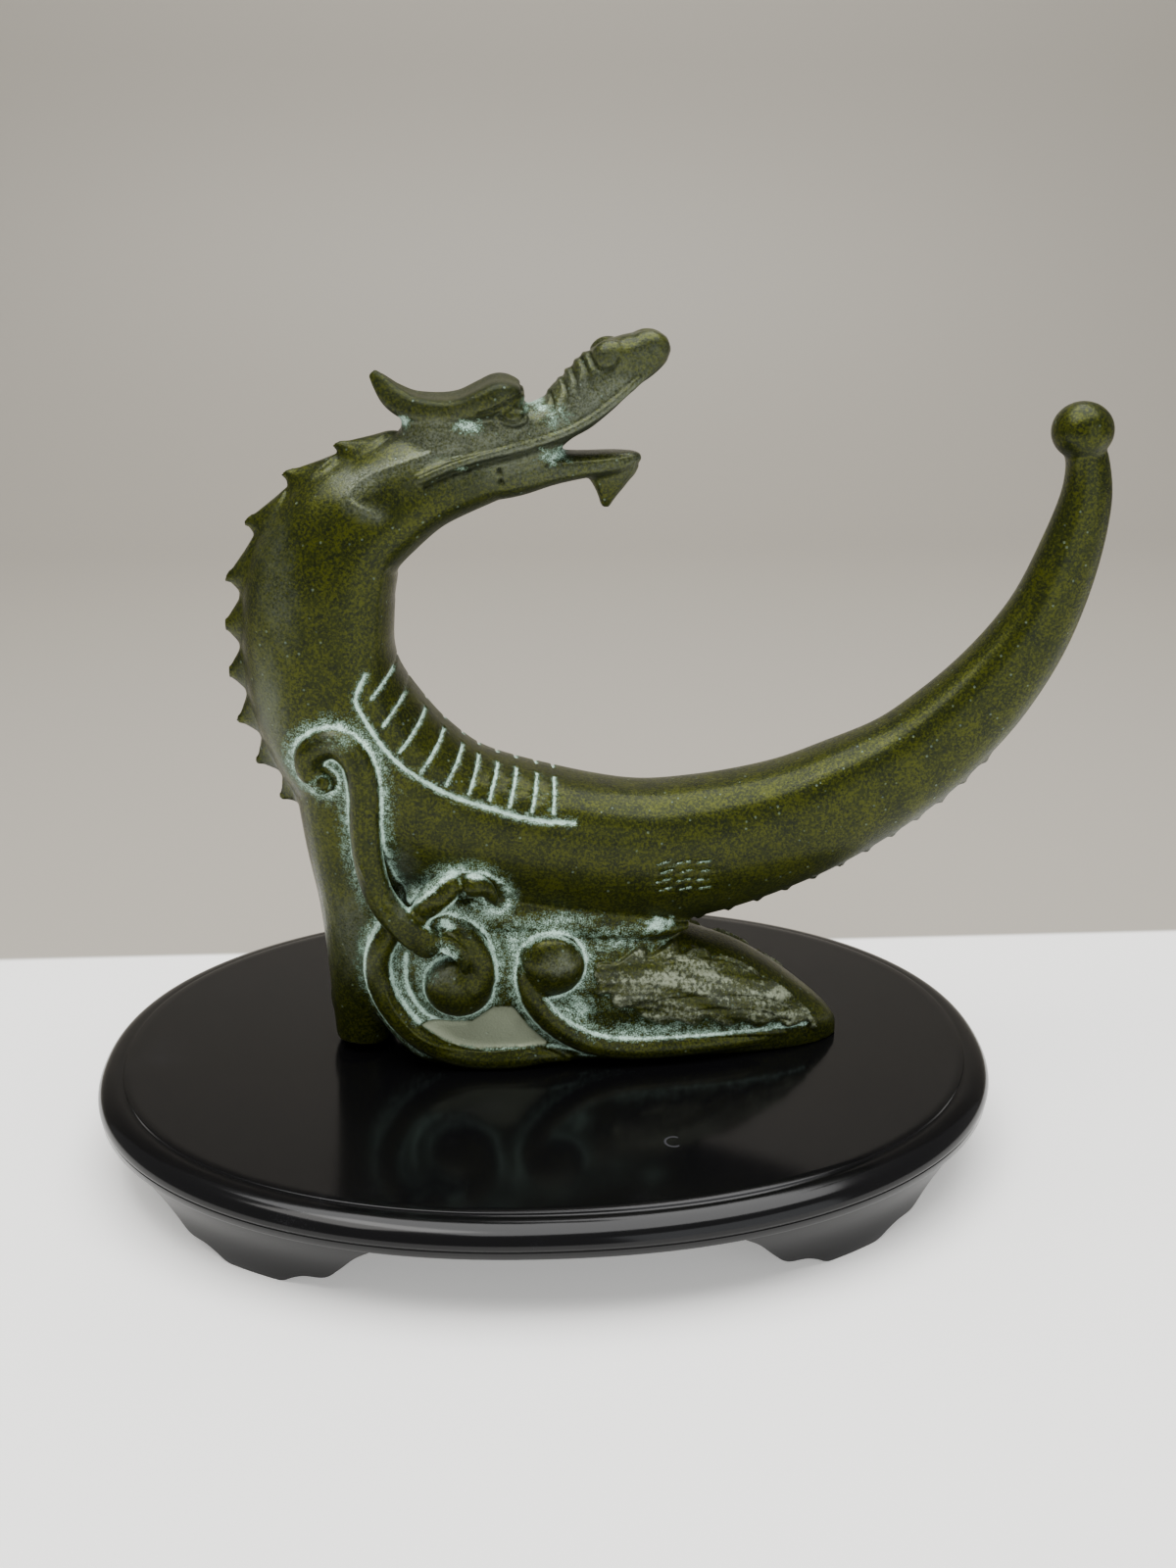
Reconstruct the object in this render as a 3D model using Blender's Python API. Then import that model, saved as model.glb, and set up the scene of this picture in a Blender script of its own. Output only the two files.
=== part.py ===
"""A cast bronze dragon on a black oval stand with four bracket feet.

The dragon is one casting: a crescent body from the raised tail to the open-jawed head, held by a base of
curling waves and rock. It rests on the stand by the flat underside of that base.

Run with: blender --background --python part.py
Units are metres and +Z is up. X runs along the stand, with the tail at +X and the dragon's front at -Y. The
origin is the centre of the whole object's footprint, on the surface that the feet stand on.
"""

import math

import bpy
import numpy as np

# The stand: a moulded oval board on four bracket feet.
STAND_LENGTH = 0.384
STAND_WIDTH = 0.280
OVAL_POWER = 2.15
BOARD_THICKNESS = 0.0130
STEP_INSET = 0.0110
STEP_DROP = 0.0008
BEAD_RADIUS = 0.0024
BEAD_INSET = 0.0012
EDGE_BREAK = 0.0006
LIP_HEIGHT = 0.0034
OVAL_STEPS = 56

FOOT_HEIGHT = 0.0275
FOOT_SPAN = 0.098
FOOT_WALL = 0.010
FOOT_INSET = 0.0045
FOOT_CURVE = 0.0050
FOOT_TAPER = 0.4
FOOT_ROOT = 0.0020
FOOT_BEARING = math.radians(53.0)
FOOT_COLUMNS = 16
# One half of a foot's lower edge: share of the half span from its middle, share of the foot's height.
FOOT_EDGE = (
    (0.0, 0.0), (0.16, 0.0), (0.25, 0.15), (0.33, 0.24), (0.48, 0.25), (0.64, 0.40), (0.80, 0.68), (1.0, 0.96),
)

# The dragon. Its forms are shares of its height: one share is a 300th of it, about a millimetre.
DRAGON_HEIGHT = 0.300
SHARE = DRAGON_HEIGHT / 300.0
REST_GAP = 0.0003
SKIN_CELL = 0.0011
SKIN_TRIANGLES = 6700
# A round tube's blunt ends, as shares of its radius, and the rings for each station of a raised band.
CAP_SHRINK = 0.5
CAP_REACH = 0.7
BAND_RINGS = 5

# Body from behind the jaws to the tail's tip: x, z, half height in the plane of the crescent, half depth.
BODY = (
    (-20, 252.5, 15.5, 16),
    (-46, 245, 19.5, 19.5),
    (-62.5, 235, 21.8, 21.5),
    (-76, 224.5, 25.6, 23.5),
    (-85, 208.5, 28.8, 25),
    (-88, 193, 29.6, 25.5),
    (-88.5, 176, 29.8, 26),
    (-85.5, 159, 31, 26.5),
    (-77, 141, 32.5, 27),
    (-62, 121, 33.5, 27),
    (-39, 104, 33, 27),
    (-5, 93, 32.6, 26.5),
    (34, 86.5, 31.5, 25),
    (68, 90, 29.6, 23),
    (102, 99.5, 26.6, 21),
    (128, 111.5, 24.4, 19),
    (149.5, 124, 21.8, 17),
    (166, 138, 20.2, 15.5),
    (181.5, 154.5, 18.4, 14),
    (194.5, 173, 16.2, 12.5),
    (203.5, 191, 14.2, 11),
    (210.5, 213, 12.4, 9.5),
    (214.5, 233, 10.2, 8.2),
    (214, 247, 8.4, 7.6),
    (211, 256, 7.5, 7.5),
)
BODY_RINGS = 110
BACK_NARROWING = 0.20

# Spine spikes, by share of the way along the back: pitch, height, half depth, and where in the pitch the tip stands.
SPINE = (
    (0.00, 22.5, 6.0, 6.0, 0.88), (0.15, 22.5, 7.2, 6.0, 0.80), (0.20, 20, 8.0, 5.5, 0.55),
    (0.27, 17.5, 7.8, 5.0, 0.50), (0.45, 14, 4.4, 4.0, 0.50), (0.60, 12.8, 3.0, 3.4, 0.50), (0.80, 12, 2.4, 2.8, 0.50),
)
SPIKES_FROM = 0.050
SPIKES_TO = 0.785
SPIKE_ROOT = 5.0
SPIKE_TIP = 0.5
SPIKE_HOLLOW = 1.6
SPIKE_FOOT = 0.35
RIDGE_RADIUS = (5.0, 2.4)
RIDGE_SINK = 0.62

TAIL_BALL = ((210.3, 0, 261), (12, 12, 11.3))

# Head, as tubes in the plane of the crescent: x, z, half height, half depth.
UPPER_JAW = (
    (-24, 254, 14, 16.5), (-8, 259, 12.4, 16.5), (5.5, 267.2, 9.4, 13.5), (13, 272.5, 10.4, 12.2),
    (21, 280, 11.2, 11.5), (29, 286.6, 10.4, 11), (38, 290.8, 8.8, 10), (45, 293.8, 6.2, 8), (48.5, 295, 2.6, 4),
)
SKULL = (
    (-53, 263, 4.5, 6), (-48, 262, 7.5, 11.5), (-38, 261, 9, 15.5), (-24, 261.5, 9.5, 17), (-12, 264, 8.5, 16),
    (-3, 267, 6, 12),
)
LOWER_JAW = (
    (-26, 246.5, 10.4, 16), (-10, 247.5, 9, 15), (4, 249, 6.4, 12.5), (16, 250, 5, 10),
    (28, 251, 4.3, 8.5), (35, 252.2, 2.8, 5.4), (38.5, 252.6, 1.2, 2.4),
)
BEARD = (
    (27.5, 250, 10, 6.5), (26.6, 245.5, 7.8, 5.4), (26.1, 241, 4.9, 4.4), (25.4, 237, 2.6, 3), (24.6, 233, 1.2, 1.4),
)
CREST = (
    (-63, 285.2, 1.8, 2), (-60, 281.8, 3.6, 3.8), (-55, 276.6, 5.4, 7.5), (-48, 273, 5.8, 11.5), (-38, 272, 5.6, 15),
    (-30, 272.8, 5.6, 17), (-22, 275.3, 6.8, 18.5), (-16, 277.4, 7.7, 18.5), (-11, 277.2, 7, 16), (-7.6, 275.4, 4.6, 12),
)
# Pairs of rounded forms on both sides of the head: middle (x, depth, z) and radii.
HEAD_BALLS = (
    ((-10.5, 15.5, 270.6), (5.6, 4, 3.8)),
    ((26, 5.6, 291.4), (7.4, 6.4, 7.2)),
    ((40.5, 3.6, 293.6), (8.2, 6, 6.6)),
)
# Folds over the snout, as shares of the way along the upper jaw.
SNOUT_FOLDS = (0.31, 0.37, 0.43, 0.49, 0.55)
FOLD_RADIUS = 1.8
FOLD_INSET = (0.4, 0.6)
FOLD_REACH = 1.75
LIP = (
    (45, 4.5, 288.5), (37, 9.3, 283), (28, 11, 275.5), (18, 12, 268.5), (6, 14, 263), (-12, 16.5, 258.5),
    (-23, 17.6, 256), (-35, 18.6, 252.5), (-46, 19.4, 248),
)
LIP_RADIUS = 2.0

# The base of waves and rock: x, underside, top, half depth.
BASE = (
    (-79, 34, 62, 8), (-74, 22, 72, 15), (-64, 8, 80, 20.5), (-52, -2, 84, 23.5), (-36, -2, 84, 25.5),
    (-12, -2, 78, 26), (15, -2, 68, 25.5), (40, -2, 60, 24.5), (62, -2, 51, 23.5), (82, -2, 43, 21.5),
    (98, -2, 33, 18.5), (112, -2, 22, 14), (121, -2, 14, 9), (126.5, -2, 7, 3.5),
)
BASE_WAIST = 0.3
FAR_LOBE = ((-79, 12, 18), (15, 13, 21))
# The breast, from the body down to the waves behind the forelegs: x, z, half height, half depth.
BREAST = (
    (-78, 124, 24, 22), (-78, 98, 21, 20.5), (-76, 72, 19, 19), (-76, 46, 17, 16), (-78, 22, 14, 13), (-80, 4, 11, 10),
)
# The web that fills the corner between the base and the belly, in the same columns.
WEB = ((-58, 72, 13, 22), (-30, 69, 13, 24), (0, 65, 12, 24), (30, 61, 10, 22.5), (50, 58.5, 6, 19), (60, 58, 2.5, 14))

# Raised bands on both flanks, as tubes: x, depth from the mid-plane, z, radius.
FORELEG = (
    (-88, 25, 131, 4), (-93, 25, 136, 5), (-91, 25.5, 144, 6), (-82, 26, 148, 7), (-74, 26.5, 141, 7),
    (-71.5, 27, 128, 6.6), (-72, 27, 112, 6.4), (-71, 27, 96, 6.2), (-67.5, 27, 82, 6), (-59, 27.5, 70, 6),
    (-46, 28, 61, 6),
)
SHOULDER_DISC = ((-88, 27, 131), (4.6, 3, 4.6))
CLAW = ((-46, 28, 63, 5), (-38, 28.5, 60, 4), (-34, 28, 53, 2.4), (-32.5, 27.5, 48, 1.2))
UPPER_CLAW = (
    (-55, 25, 69, 2.5), (-46, 26, 79, 5), (-37, 27, 87, 5.6), (-28.5, 27.5, 88, 4.6), (-23.5, 27, 83, 3),
    (-21, 26.5, 77, 1.2),
)
SCROLL = (
    (-33, 25, 64, 4.5), (-27.5, 26, 56, 5.6), (-26, 26.5, 46, 6.4), (-32, 26.5, 36.5, 6.6), (-41.5, 26, 34, 6),
    (-47, 25.5, 40, 5), (-44, 25.5, 46.5, 5.5), (-38, 26, 46, 6),
)
WAVE_ARM = (
    (-62, 21, 64, 7), (-67, 21, 52, 9), (-66, 21, 38, 9), (-58, 21.5, 24, 8.5), (-44, 22, 13, 8), (-26, 22, 8, 7),
)
WAVE_KNOB = ((2, 24.5, 45), (14, 7.5, 13.5))
WAVE_TAIL = (
    (-9, 23, 54, 4), (-11.5, 24, 45, 5), (-9, 25, 34, 5), (0, 25.5, 22, 4.6), (17, 25.5, 14, 4.2), (37, 25, 10, 4),
    (60, 23.4, 9, 3.6), (84, 20, 9, 3.2), (100, 15.5, 9, 2.6),
)

# Shallow cuts on both flanks: the belly's edge line and the strokes from it to the belly.
BELLY_EDGE = (
    (-70, 173), (-73.5, 165), (-70.5, 157), (-65, 148), (-59, 140), (-51, 133), (-42, 127), (-32, 122), (-22, 118.5),
    (-12, 115), (-2, 112), (10, 111),
)
BELLY_STROKES = 10
STROKE_GAP = 2.0
STROKE_SPAN = (0.10, 0.84)
STROKE_LENGTH = (10.5, 11.5)
STROKE_TILT = (math.radians(40.0), math.radians(88.0))
CUT_WIDTH = 3.4
CUT_DEPTH = 1.6
FLANK_FROM = 6.0


def clear_scene():
    for obj in list(bpy.data.objects):
        bpy.data.objects.remove(obj, do_unlink=True)


def make_material(name, color, roughness, metallic):
    material = bpy.data.materials.new(name)
    material.use_nodes = True
    shader = material.node_tree.nodes["Principled BSDF"]
    shader.inputs["Base Color"].default_value = (*color, 1.0)
    shader.inputs["Roughness"].default_value = roughness
    shader.inputs["Metallic"].default_value = metallic
    return material


def make_object(name, points, faces, material=None):
    mesh = bpy.data.meshes.new(name)
    mesh.from_pydata([tuple(p) for p in points], [], faces)
    mesh.validate()
    if material:
        mesh.materials.append(material)
    obj = bpy.data.objects.new(name, mesh)
    bpy.context.scene.collection.objects.link(obj)
    return obj


def smooth_rows(rows, count):
    """Rows read evenly along a Catmull-Rom curve through the given ones, whatever they hold in each column."""
    rows = np.array(rows, float)
    padded = np.vstack([2 * rows[0] - rows[1], rows, 2 * rows[-1] - rows[-2]])
    places = np.linspace(0, len(rows) - 1, count)
    spans = np.minimum(places.astype(int), len(rows) - 2)
    t = (places - spans)[:, None]
    before, start, end, after = (padded[spans + step] for step in range(4))
    return 0.5 * (
        2 * start + (end - before) * t + (2 * before - 5 * start + 4 * end - after) * t**2
        + (3 * start - before - 3 * end + after) * t**3
    )


def rounded(angle, power):
    """Cosine and sine of an angle, squared up as on a superellipse."""
    c, s = np.cos(angle), np.sin(angle)
    return np.sign(c) * np.abs(c) ** (2 / power), np.sign(s) * np.abs(s) ** (2 / power)


class Shell:
    """Closed shells gathered in one list of points and faces, to be skinned or made an object later."""

    def __init__(self):
        self.points = []
        self.faces = []

    def add_rings(self, rings):
        """Joins rings of equal length into a closed shell, capped at both ends and turned outwards."""
        rings = np.asarray(rings, float)
        count, sides = rings.shape[:2]
        first = len(self.points)
        points = [tuple(p) for ring in rings for p in ring]
        points += [tuple(rings[0].mean(axis=0)), tuple(rings[-1].mean(axis=0))]
        head, foot = count * sides, count * sides + 1
        faces = []
        for i in range(count - 1):
            for j in range(sides):
                k = (j + 1) % sides
                faces.append((i * sides + j, i * sides + k, (i + 1) * sides + k, (i + 1) * sides + j))
        for j in range(sides):
            k = (j + 1) % sides
            faces.append((head, k, j))
            faces.append((foot, (count - 1) * sides + j, (count - 1) * sides + k))
        if shell_volume(points, faces) < 0:
            faces = [face[::-1] for face in faces]
        self.points += points
        self.faces += [tuple(first + corner for corner in face) for face in faces]

    def add_flat_tube(self, stations, count, sides=20, power=2.3, narrowing=0.0):
        """A tube that bends in the XZ plane only: stations of x, z, half height and half depth."""
        rows = smooth_rows(stations, count)
        _, outward = plane_frame(rows)
        angle = np.linspace(0, 2 * math.pi, sides, endpoint=False)
        out, across = rounded(angle, power)
        across = across * (1 - narrowing * out)
        rings = np.zeros((count, sides, 3))
        rings[:, :, 0] = rows[:, 0, None] + outward[:, 0, None] * rows[:, 2, None] * out
        rings[:, :, 2] = rows[:, 1, None] + outward[:, 1, None] * rows[:, 2, None] * out
        rings[:, :, 1] = rows[:, 3, None] * across
        self.add_rings(rings)

    def add_tube(self, stations, count, sides=12, flank=1):
        """A round tube through stations of x, depth, z and radius, on the flank that the sign names."""
        rows = smooth_rows(stations, count)
        path = rows[:, :3] * (1, flank, 1)
        along = np.gradient(path, axis=0)
        along /= np.linalg.norm(along, axis=1)[:, None]
        side = np.cross(along, (0, 1, 0))
        side /= np.linalg.norm(side, axis=1)[:, None]
        up = np.cross(side, along)
        angle = np.linspace(0, 2 * math.pi, sides, endpoint=False)[None, :, None]
        around = np.cos(angle) * side[:, None] + np.sin(angle) * up[:, None]
        rings = path[:, None] + rows[:, 3, None, None] * around
        caps = []
        for i, step in ((0, 1), (-1, -1)):
            caps.append(path[i] + (rings[i] - path[i]) * CAP_SHRINK - step * along[i] * rows[i, 3] * CAP_REACH)
        self.add_rings([caps[0], *rings, caps[1]])

    def add_ball(self, middle, radii, flank=1, rows=12, sides=18):
        angle = np.linspace(0, 2 * math.pi, sides, endpoint=False)
        rings = []
        for i in range(1, rows):
            bearing = math.pi * i / rows
            wide = math.sin(bearing)
            ring = np.stack([wide * np.cos(angle), wide * np.sin(angle), angle * 0 + math.cos(bearing)], 1)
            rings.append(ring * radii + np.multiply(middle, (1, flank, 1)))
        self.add_rings(rings)


def shell_volume(points, faces):
    points = np.array(points)
    total = 0.0
    for face in faces:
        for i in range(1, len(face) - 1):
            total += np.dot(points[face[0]], np.cross(points[face[i]], points[face[i + 1]]))
    return total / 6


def plane_frame(rows):
    """Unit directions along a path in the XZ plane and outward from the crescent, which is to its right."""
    along = np.gradient(rows[:, :2], axis=0)
    along /= np.linalg.norm(along, axis=1)[:, None]
    return along, np.stack([along[:, 1], -along[:, 0]], axis=1)


def back_line(count):
    """Points of the back's middle line, with the outward direction and each point's share of the way."""
    rows = smooth_rows(BODY, count)
    _, outward = plane_frame(rows)
    line = rows[:, :2] + outward * rows[:, 2, None]
    steps = np.linalg.norm(np.diff(line, axis=0), axis=1)
    return line, outward, np.concatenate([[0], np.cumsum(steps)])


def lerp(pair, share):
    return pair[0] + (pair[1] - pair[0]) * share


def add_spine(shell):
    """The ridge along the back and the spikes on it, which follow the trend from the nape to the tail."""
    line, outward, distance = back_line(400)
    length = distance[-1]

    def at_back(here):
        return [np.array([np.interp(here, distance, rows[:, axis]) for axis in (0, 1)]) for rows in (line, outward)]

    ridge = []
    for share in np.linspace(SPIKES_FROM, SPIKES_TO, 60):
        place, out = at_back(share * length)
        radius = lerp(RIDGE_RADIUS, share)
        ridge.append((place[0] - out[0] * radius * RIDGE_SINK, 0, place[1] - out[1] * radius * RIDGE_SINK, radius))
    shell.add_tube(ridge, 120)
    trend = np.array(SPINE).T
    here = SPIKES_FROM * length
    while here < SPIKES_TO * length:
        pitch, height, half_depth, lean = (np.interp(here / length, trend[0], column) for column in trend[1:])
        shares = np.linspace(0, 1, 11)
        add_spike(shell, [at_back(here + pitch * share) for share in shares], shares, height, half_depth, lean)
        here += pitch


def add_spike(shell, frames, shares, height, half_depth, lean):
    """A blunt fin on the back that swells in a hollow curve to its tip, and falls the same way behind it."""
    rings = []
    for (place, out), share in zip(frames, shares):
        climb = share / lean if share < lean else (1 - share) / (1 - lean)
        top = place + out * height * climb**SPIKE_HOLLOW
        root = place - out * SPIKE_ROOT
        depth = half_depth * lerp((SPIKE_FOOT, 1), climb)
        near = [(top[0], SPIKE_TIP, top[1]), (place[0], depth, place[1]), (root[0], depth, root[1])]
        rings.append(near + [(x, -y, z) for x, y, z in reversed(near)])
    shell.add_rings(rings)


def add_head(shell):
    shell.add_flat_tube(UPPER_JAW, 40, power=2.4)
    shell.add_flat_tube(SKULL, 30, power=3.0)
    shell.add_flat_tube(LOWER_JAW, 30, power=2.5)
    shell.add_flat_tube(BEARD, 14, sides=12, power=2.0)
    shell.add_flat_tube(CREST, 40, power=3.4)
    rows = smooth_rows(UPPER_JAW, 200)
    _, outward = plane_frame(rows)
    for share in SNOUT_FOLDS:
        i = round(share * 199)
        x, z, half_height, half_depth = rows[i]
        fold = []
        for angle in np.linspace(-FOLD_REACH, FOLD_REACH, 13):
            lift = -math.cos(angle) * (half_height - FOLD_INSET[0])
            depth = math.sin(angle) * (half_depth - FOLD_INSET[1])
            fold.append((x + outward[i][0] * lift, depth, z + outward[i][1] * lift, FOLD_RADIUS))
        shell.add_tube(fold, 26, sides=10)
    for flank in (-1, 1):
        shell.add_tube([(x, y, z, LIP_RADIUS) for x, y, z in LIP], 40, sides=10, flank=flank)
        for middle, radii in HEAD_BALLS:
            shell.add_ball(middle, radii, flank)


def add_base(shell):
    """The block of waves and rock, then the bands and knobs that stand out on both of its sides."""
    rings = []
    angle = np.linspace(0, 2 * math.pi, 24, endpoint=False)
    for x, underside, top, half_depth in smooth_rows(BASE, 60):
        waist = lerp((underside, top), BASE_WAIST)
        round_c, round_s = rounded(angle, 2.5)
        square_c, square_s = rounded(angle, 4.5)
        upper = np.stack([angle * 0 + x, half_depth * round_c, waist + (top - waist) * round_s], axis=1)
        lower = np.stack([angle * 0 + x, half_depth * square_c, waist + (waist - underside) * square_s], axis=1)
        rings.append(np.where((angle <= math.pi)[:, None], upper, lower))
    shell.add_rings(rings)
    shell.add_ball(*FAR_LOBE)
    shell.add_flat_tube(BREAST, 30, power=2.2)
    shell.add_flat_tube(WEB, 40, power=2.6)
    for flank in (-1, 1):
        for band in (FORELEG, CLAW, UPPER_CLAW, SCROLL, WAVE_ARM, WAVE_TAIL):
            shell.add_tube(band, BAND_RINGS * len(band), flank=flank)
        for ball in (SHOULDER_DISC, WAVE_KNOB):
            shell.add_ball(*ball, flank=flank, rows=16, sides=24)


def belly_cuts():
    """The polylines cut in each flank: the belly's edge line, and the strokes that leave it towards the belly."""
    edge = smooth_rows(BELLY_EDGE, 60)
    cuts = [edge]
    for i in range(BELLY_STROKES):
        share = i / (BELLY_STROKES - 1)
        start = edge[round(lerp(STROKE_SPAN, share) * 59)]
        tilt = lerp(STROKE_TILT, share)
        onward = np.array([math.cos(tilt), math.sin(tilt)])
        start = start + STROKE_GAP * onward
        cuts.append(np.array([start, start + lerp(STROKE_LENGTH, share) * onward]))
    return cuts


def distance_to(points, line):
    """Distance of each (x, z) point from a polyline."""
    nearest = np.full(len(points), np.inf)
    for start, end in zip(line[:-1], line[1:]):
        span = end - start
        t = np.clip(((points - start) @ span) / (span @ span), 0, 1)
        nearest = np.minimum(nearest, np.linalg.norm(points - start - t[:, None] * span, axis=1))
    return nearest


def cut_flanks(points, normals):
    """Points moved inwards along the cuts, with round-bottomed grooves."""
    near = np.full(len(points), np.inf)
    flank = np.abs(points[:, 1]) > FLANK_FROM * SHARE
    plane = points[flank][:, (0, 2)] / SHARE
    for cut in belly_cuts():
        near[flank] = np.minimum(near[flank], distance_to(plane, cut))
    depth = np.where(near < CUT_WIDTH / 2, np.cos(np.pi * np.minimum(near, CUT_WIDTH / 2) / CUT_WIDTH) ** 2, 0)
    return points - normals * (depth * CUT_DEPTH * SHARE)[:, None]


def evaluated_mesh(obj):
    graph = bpy.context.evaluated_depsgraph_get()
    return bpy.data.meshes.new_from_object(obj.evaluated_get(graph))


def mesh_array(collection, attribute):
    values = np.empty(len(collection) * 3)
    collection.foreach_get(attribute, values)
    return values.reshape(-1, 3)


def build_dragon(material):
    """The casting as one skin over its forms, cut, set flat on the stand and thinned to few faces."""
    shell = Shell()
    shell.add_flat_tube(BODY, BODY_RINGS, sides=28, power=2.35, narrowing=BACK_NARROWING)
    shell.add_ball(*TAIL_BALL)
    add_spine(shell)
    add_head(shell)
    add_base(shell)
    forms = make_object("dragon_forms", np.array(shell.points) * SHARE, shell.faces)
    remesh = forms.modifiers.new("Skin", "REMESH")
    remesh.mode = "VOXEL"
    remesh.voxel_size = SKIN_CELL
    soften = forms.modifiers.new("Soften", "SMOOTH")
    soften.factor = 0.5
    soften.iterations = 3
    mesh = evaluated_mesh(forms)
    bpy.data.objects.remove(forms, do_unlink=True)

    points = cut_flanks(mesh_array(mesh.vertices, "co"), mesh_array(mesh.vertex_normals, "vector"))
    points[:, 2] = np.maximum(points[:, 2], REST_GAP)
    mesh.vertices.foreach_set("co", points.ravel())
    mesh.materials.append(material)
    dragon = bpy.data.objects.new("dragon", mesh)
    bpy.context.scene.collection.objects.link(dragon)
    thin = dragon.modifiers.new("Thin", "DECIMATE")
    thin.ratio = SKIN_TRIANGLES / (2 * len(mesh.polygons))
    dragon.data = evaluated_mesh(dragon)
    dragon.modifiers.clear()
    dragon.data.shade_smooth()
    dragon.data.set_sharp_from_angle(angle=math.radians(50))
    return dragon


def oval(angle, inset=0.0):
    """Point of the stand's outline at an angle, moved inwards square to the outline."""
    c, s = rounded(angle, OVAL_POWER)
    point = np.array([STAND_LENGTH / 2 * c, STAND_WIDTH / 2 * s])
    ahead, behind = rounded(angle + 1e-3, OVAL_POWER), rounded(angle - 1e-3, OVAL_POWER)
    along = np.array([(ahead[0] - behind[0]) * STAND_LENGTH, (ahead[1] - behind[1]) * STAND_WIDTH])
    along /= np.linalg.norm(along)
    return point - inset * np.array([along[1], -along[0]])


def board_profile():
    """Inset and drop of the board's edge, from the flat top over a step, a bead and a cove to the lip."""
    profile = [(STEP_INSET + EDGE_BREAK, 0.0), (STEP_INSET, STEP_DROP)]
    inset, drop = BEAD_INSET + BEAD_RADIUS, STEP_DROP + BEAD_INSET + BEAD_RADIUS
    for i in range(6):
        angle = math.pi / 2 - math.pi * i / 5
        profile.append((inset - BEAD_RADIUS * math.cos(angle), drop - BEAD_RADIUS * math.sin(angle)))
    lip_top = BOARD_THICKNESS - LIP_HEIGHT
    profile.append((inset - EDGE_BREAK, (profile[-1][1] + lip_top) / 2))
    profile.append((BEAD_INSET, lip_top))
    profile.append((0.0, BOARD_THICKNESS - EDGE_BREAK))
    profile.append((EDGE_BREAK, BOARD_THICKNESS))
    return profile


def build_board():
    """The oval board, its top at z = 0."""
    shell = Shell()
    angles = [2 * math.pi * (i + 0.5) / OVAL_STEPS for i in range(OVAL_STEPS)]
    shell.add_rings([[(*oval(angle, inset), -drop) for angle in angles] for inset, drop in board_profile()])
    return make_object("stand", shell.points, shell.faces)


def foot_angles(bearing):
    """Angles of the outline that are evenly spaced over a foot's span, about the one at the bearing."""
    fine = np.linspace(0, math.pi / 2, 400)
    points = np.array([oval(angle) for angle in fine])
    distance = np.concatenate([[0], np.cumsum(np.linalg.norm(np.diff(points, axis=0), axis=1))])
    middle = np.interp(bearing, fine, distance)
    return np.interp(np.linspace(middle - FOOT_SPAN / 2, middle + FOOT_SPAN / 2, FOOT_COLUMNS + 1), distance, fine)


def build_foot(name, side_x, side_y):
    """A bracket foot under the rim: an ogee face, and wings whose lower edge runs up in two scallops."""
    shell = Shell()
    rings = []
    shares = np.linspace(-1, 1, FOOT_COLUMNS + 1)
    edge = np.array(FOOT_EDGE)
    for share, angle in zip(shares, foot_angles(FOOT_BEARING)):
        low = np.interp(abs(share), edge[:, 0], edge[:, 1]) * FOOT_HEIGHT
        outer = []
        inner = []
        for z in np.linspace(FOOT_HEIGHT + FOOT_ROOT, low, 6):
            fall = 1 - min(1.0, z / FOOT_HEIGHT)
            inset = FOOT_INSET + FOOT_CURVE * (math.sin(math.pi * fall) ** 2 + FOOT_TAPER * fall)
            for side, extra in ((outer, 0.0), (inner, FOOT_WALL)):
                x, y = oval(angle, inset + extra)
                side.append((x * side_x, y * side_y, z - FOOT_HEIGHT - BOARD_THICKNESS))
        rings.append(outer + inner[::-1])
    shell.add_rings(rings)
    foot = make_object(name, shell.points, shell.faces)
    foot.hide_render = True
    foot.display_type = "WIRE"
    return foot


def build_stand(material):
    """Board and feet as one solid."""
    stand = build_board()
    for side_x, end in ((1, "right"), (-1, "left")):
        for side_y, side in ((1, "back"), (-1, "front")):
            join = stand.modifiers.new(f"{end}_{side}", "BOOLEAN")
            join.operation = "UNION"
            join.object = build_foot(f"foot_{end}_{side}", side_x, side_y)
    stand.data = evaluated_mesh(stand)
    stand.modifiers.clear()
    stand.data.materials.clear()
    stand.data.materials.append(material)
    stand.data.shade_smooth()
    stand.data.set_sharp_from_angle(angle=math.radians(35))
    for helper in [obj for obj in bpy.data.objects if obj.name.startswith("foot_")]:
        bpy.data.objects.remove(helper, do_unlink=True)
    return stand


def set_origin(objects):
    """Moves every mesh so that the origin is the centre of the whole footprint, on the floor."""
    points = np.vstack([mesh_array(obj.data.vertices, "co") for obj in objects])
    low, high = points.min(axis=0), points.max(axis=0)
    shift = np.array([-(low[0] + high[0]) / 2, -(low[1] + high[1]) / 2, -low[2]])
    for obj in objects:
        moved = mesh_array(obj.data.vertices, "co") + shift
        obj.data.vertices.foreach_set("co", moved.ravel())
        obj.data.update()


def main():
    clear_scene()
    bronze = make_material("bronze", (0.085, 0.095, 0.032), 0.42, 0.55)
    lacquer = make_material("lacquer", (0.006, 0.006, 0.007), 0.16, 0.0)
    set_origin([build_dragon(bronze), build_stand(lacquer)])


main()
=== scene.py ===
"""The looks of a cast bronze dragon on a black oval stand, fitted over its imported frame.

The casting is one skin over lofted forms, cut and raised in shallow relief, with verdigris in its hollows and
round its raised forms. Forms are written in shares of the dragon's height, about a millimetre each, from the
middle of the stand's top: x runs along the stand to the tail, y to the back, z up.
"""

import logging
import math
from dataclasses import dataclass
from enum import Enum

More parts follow.
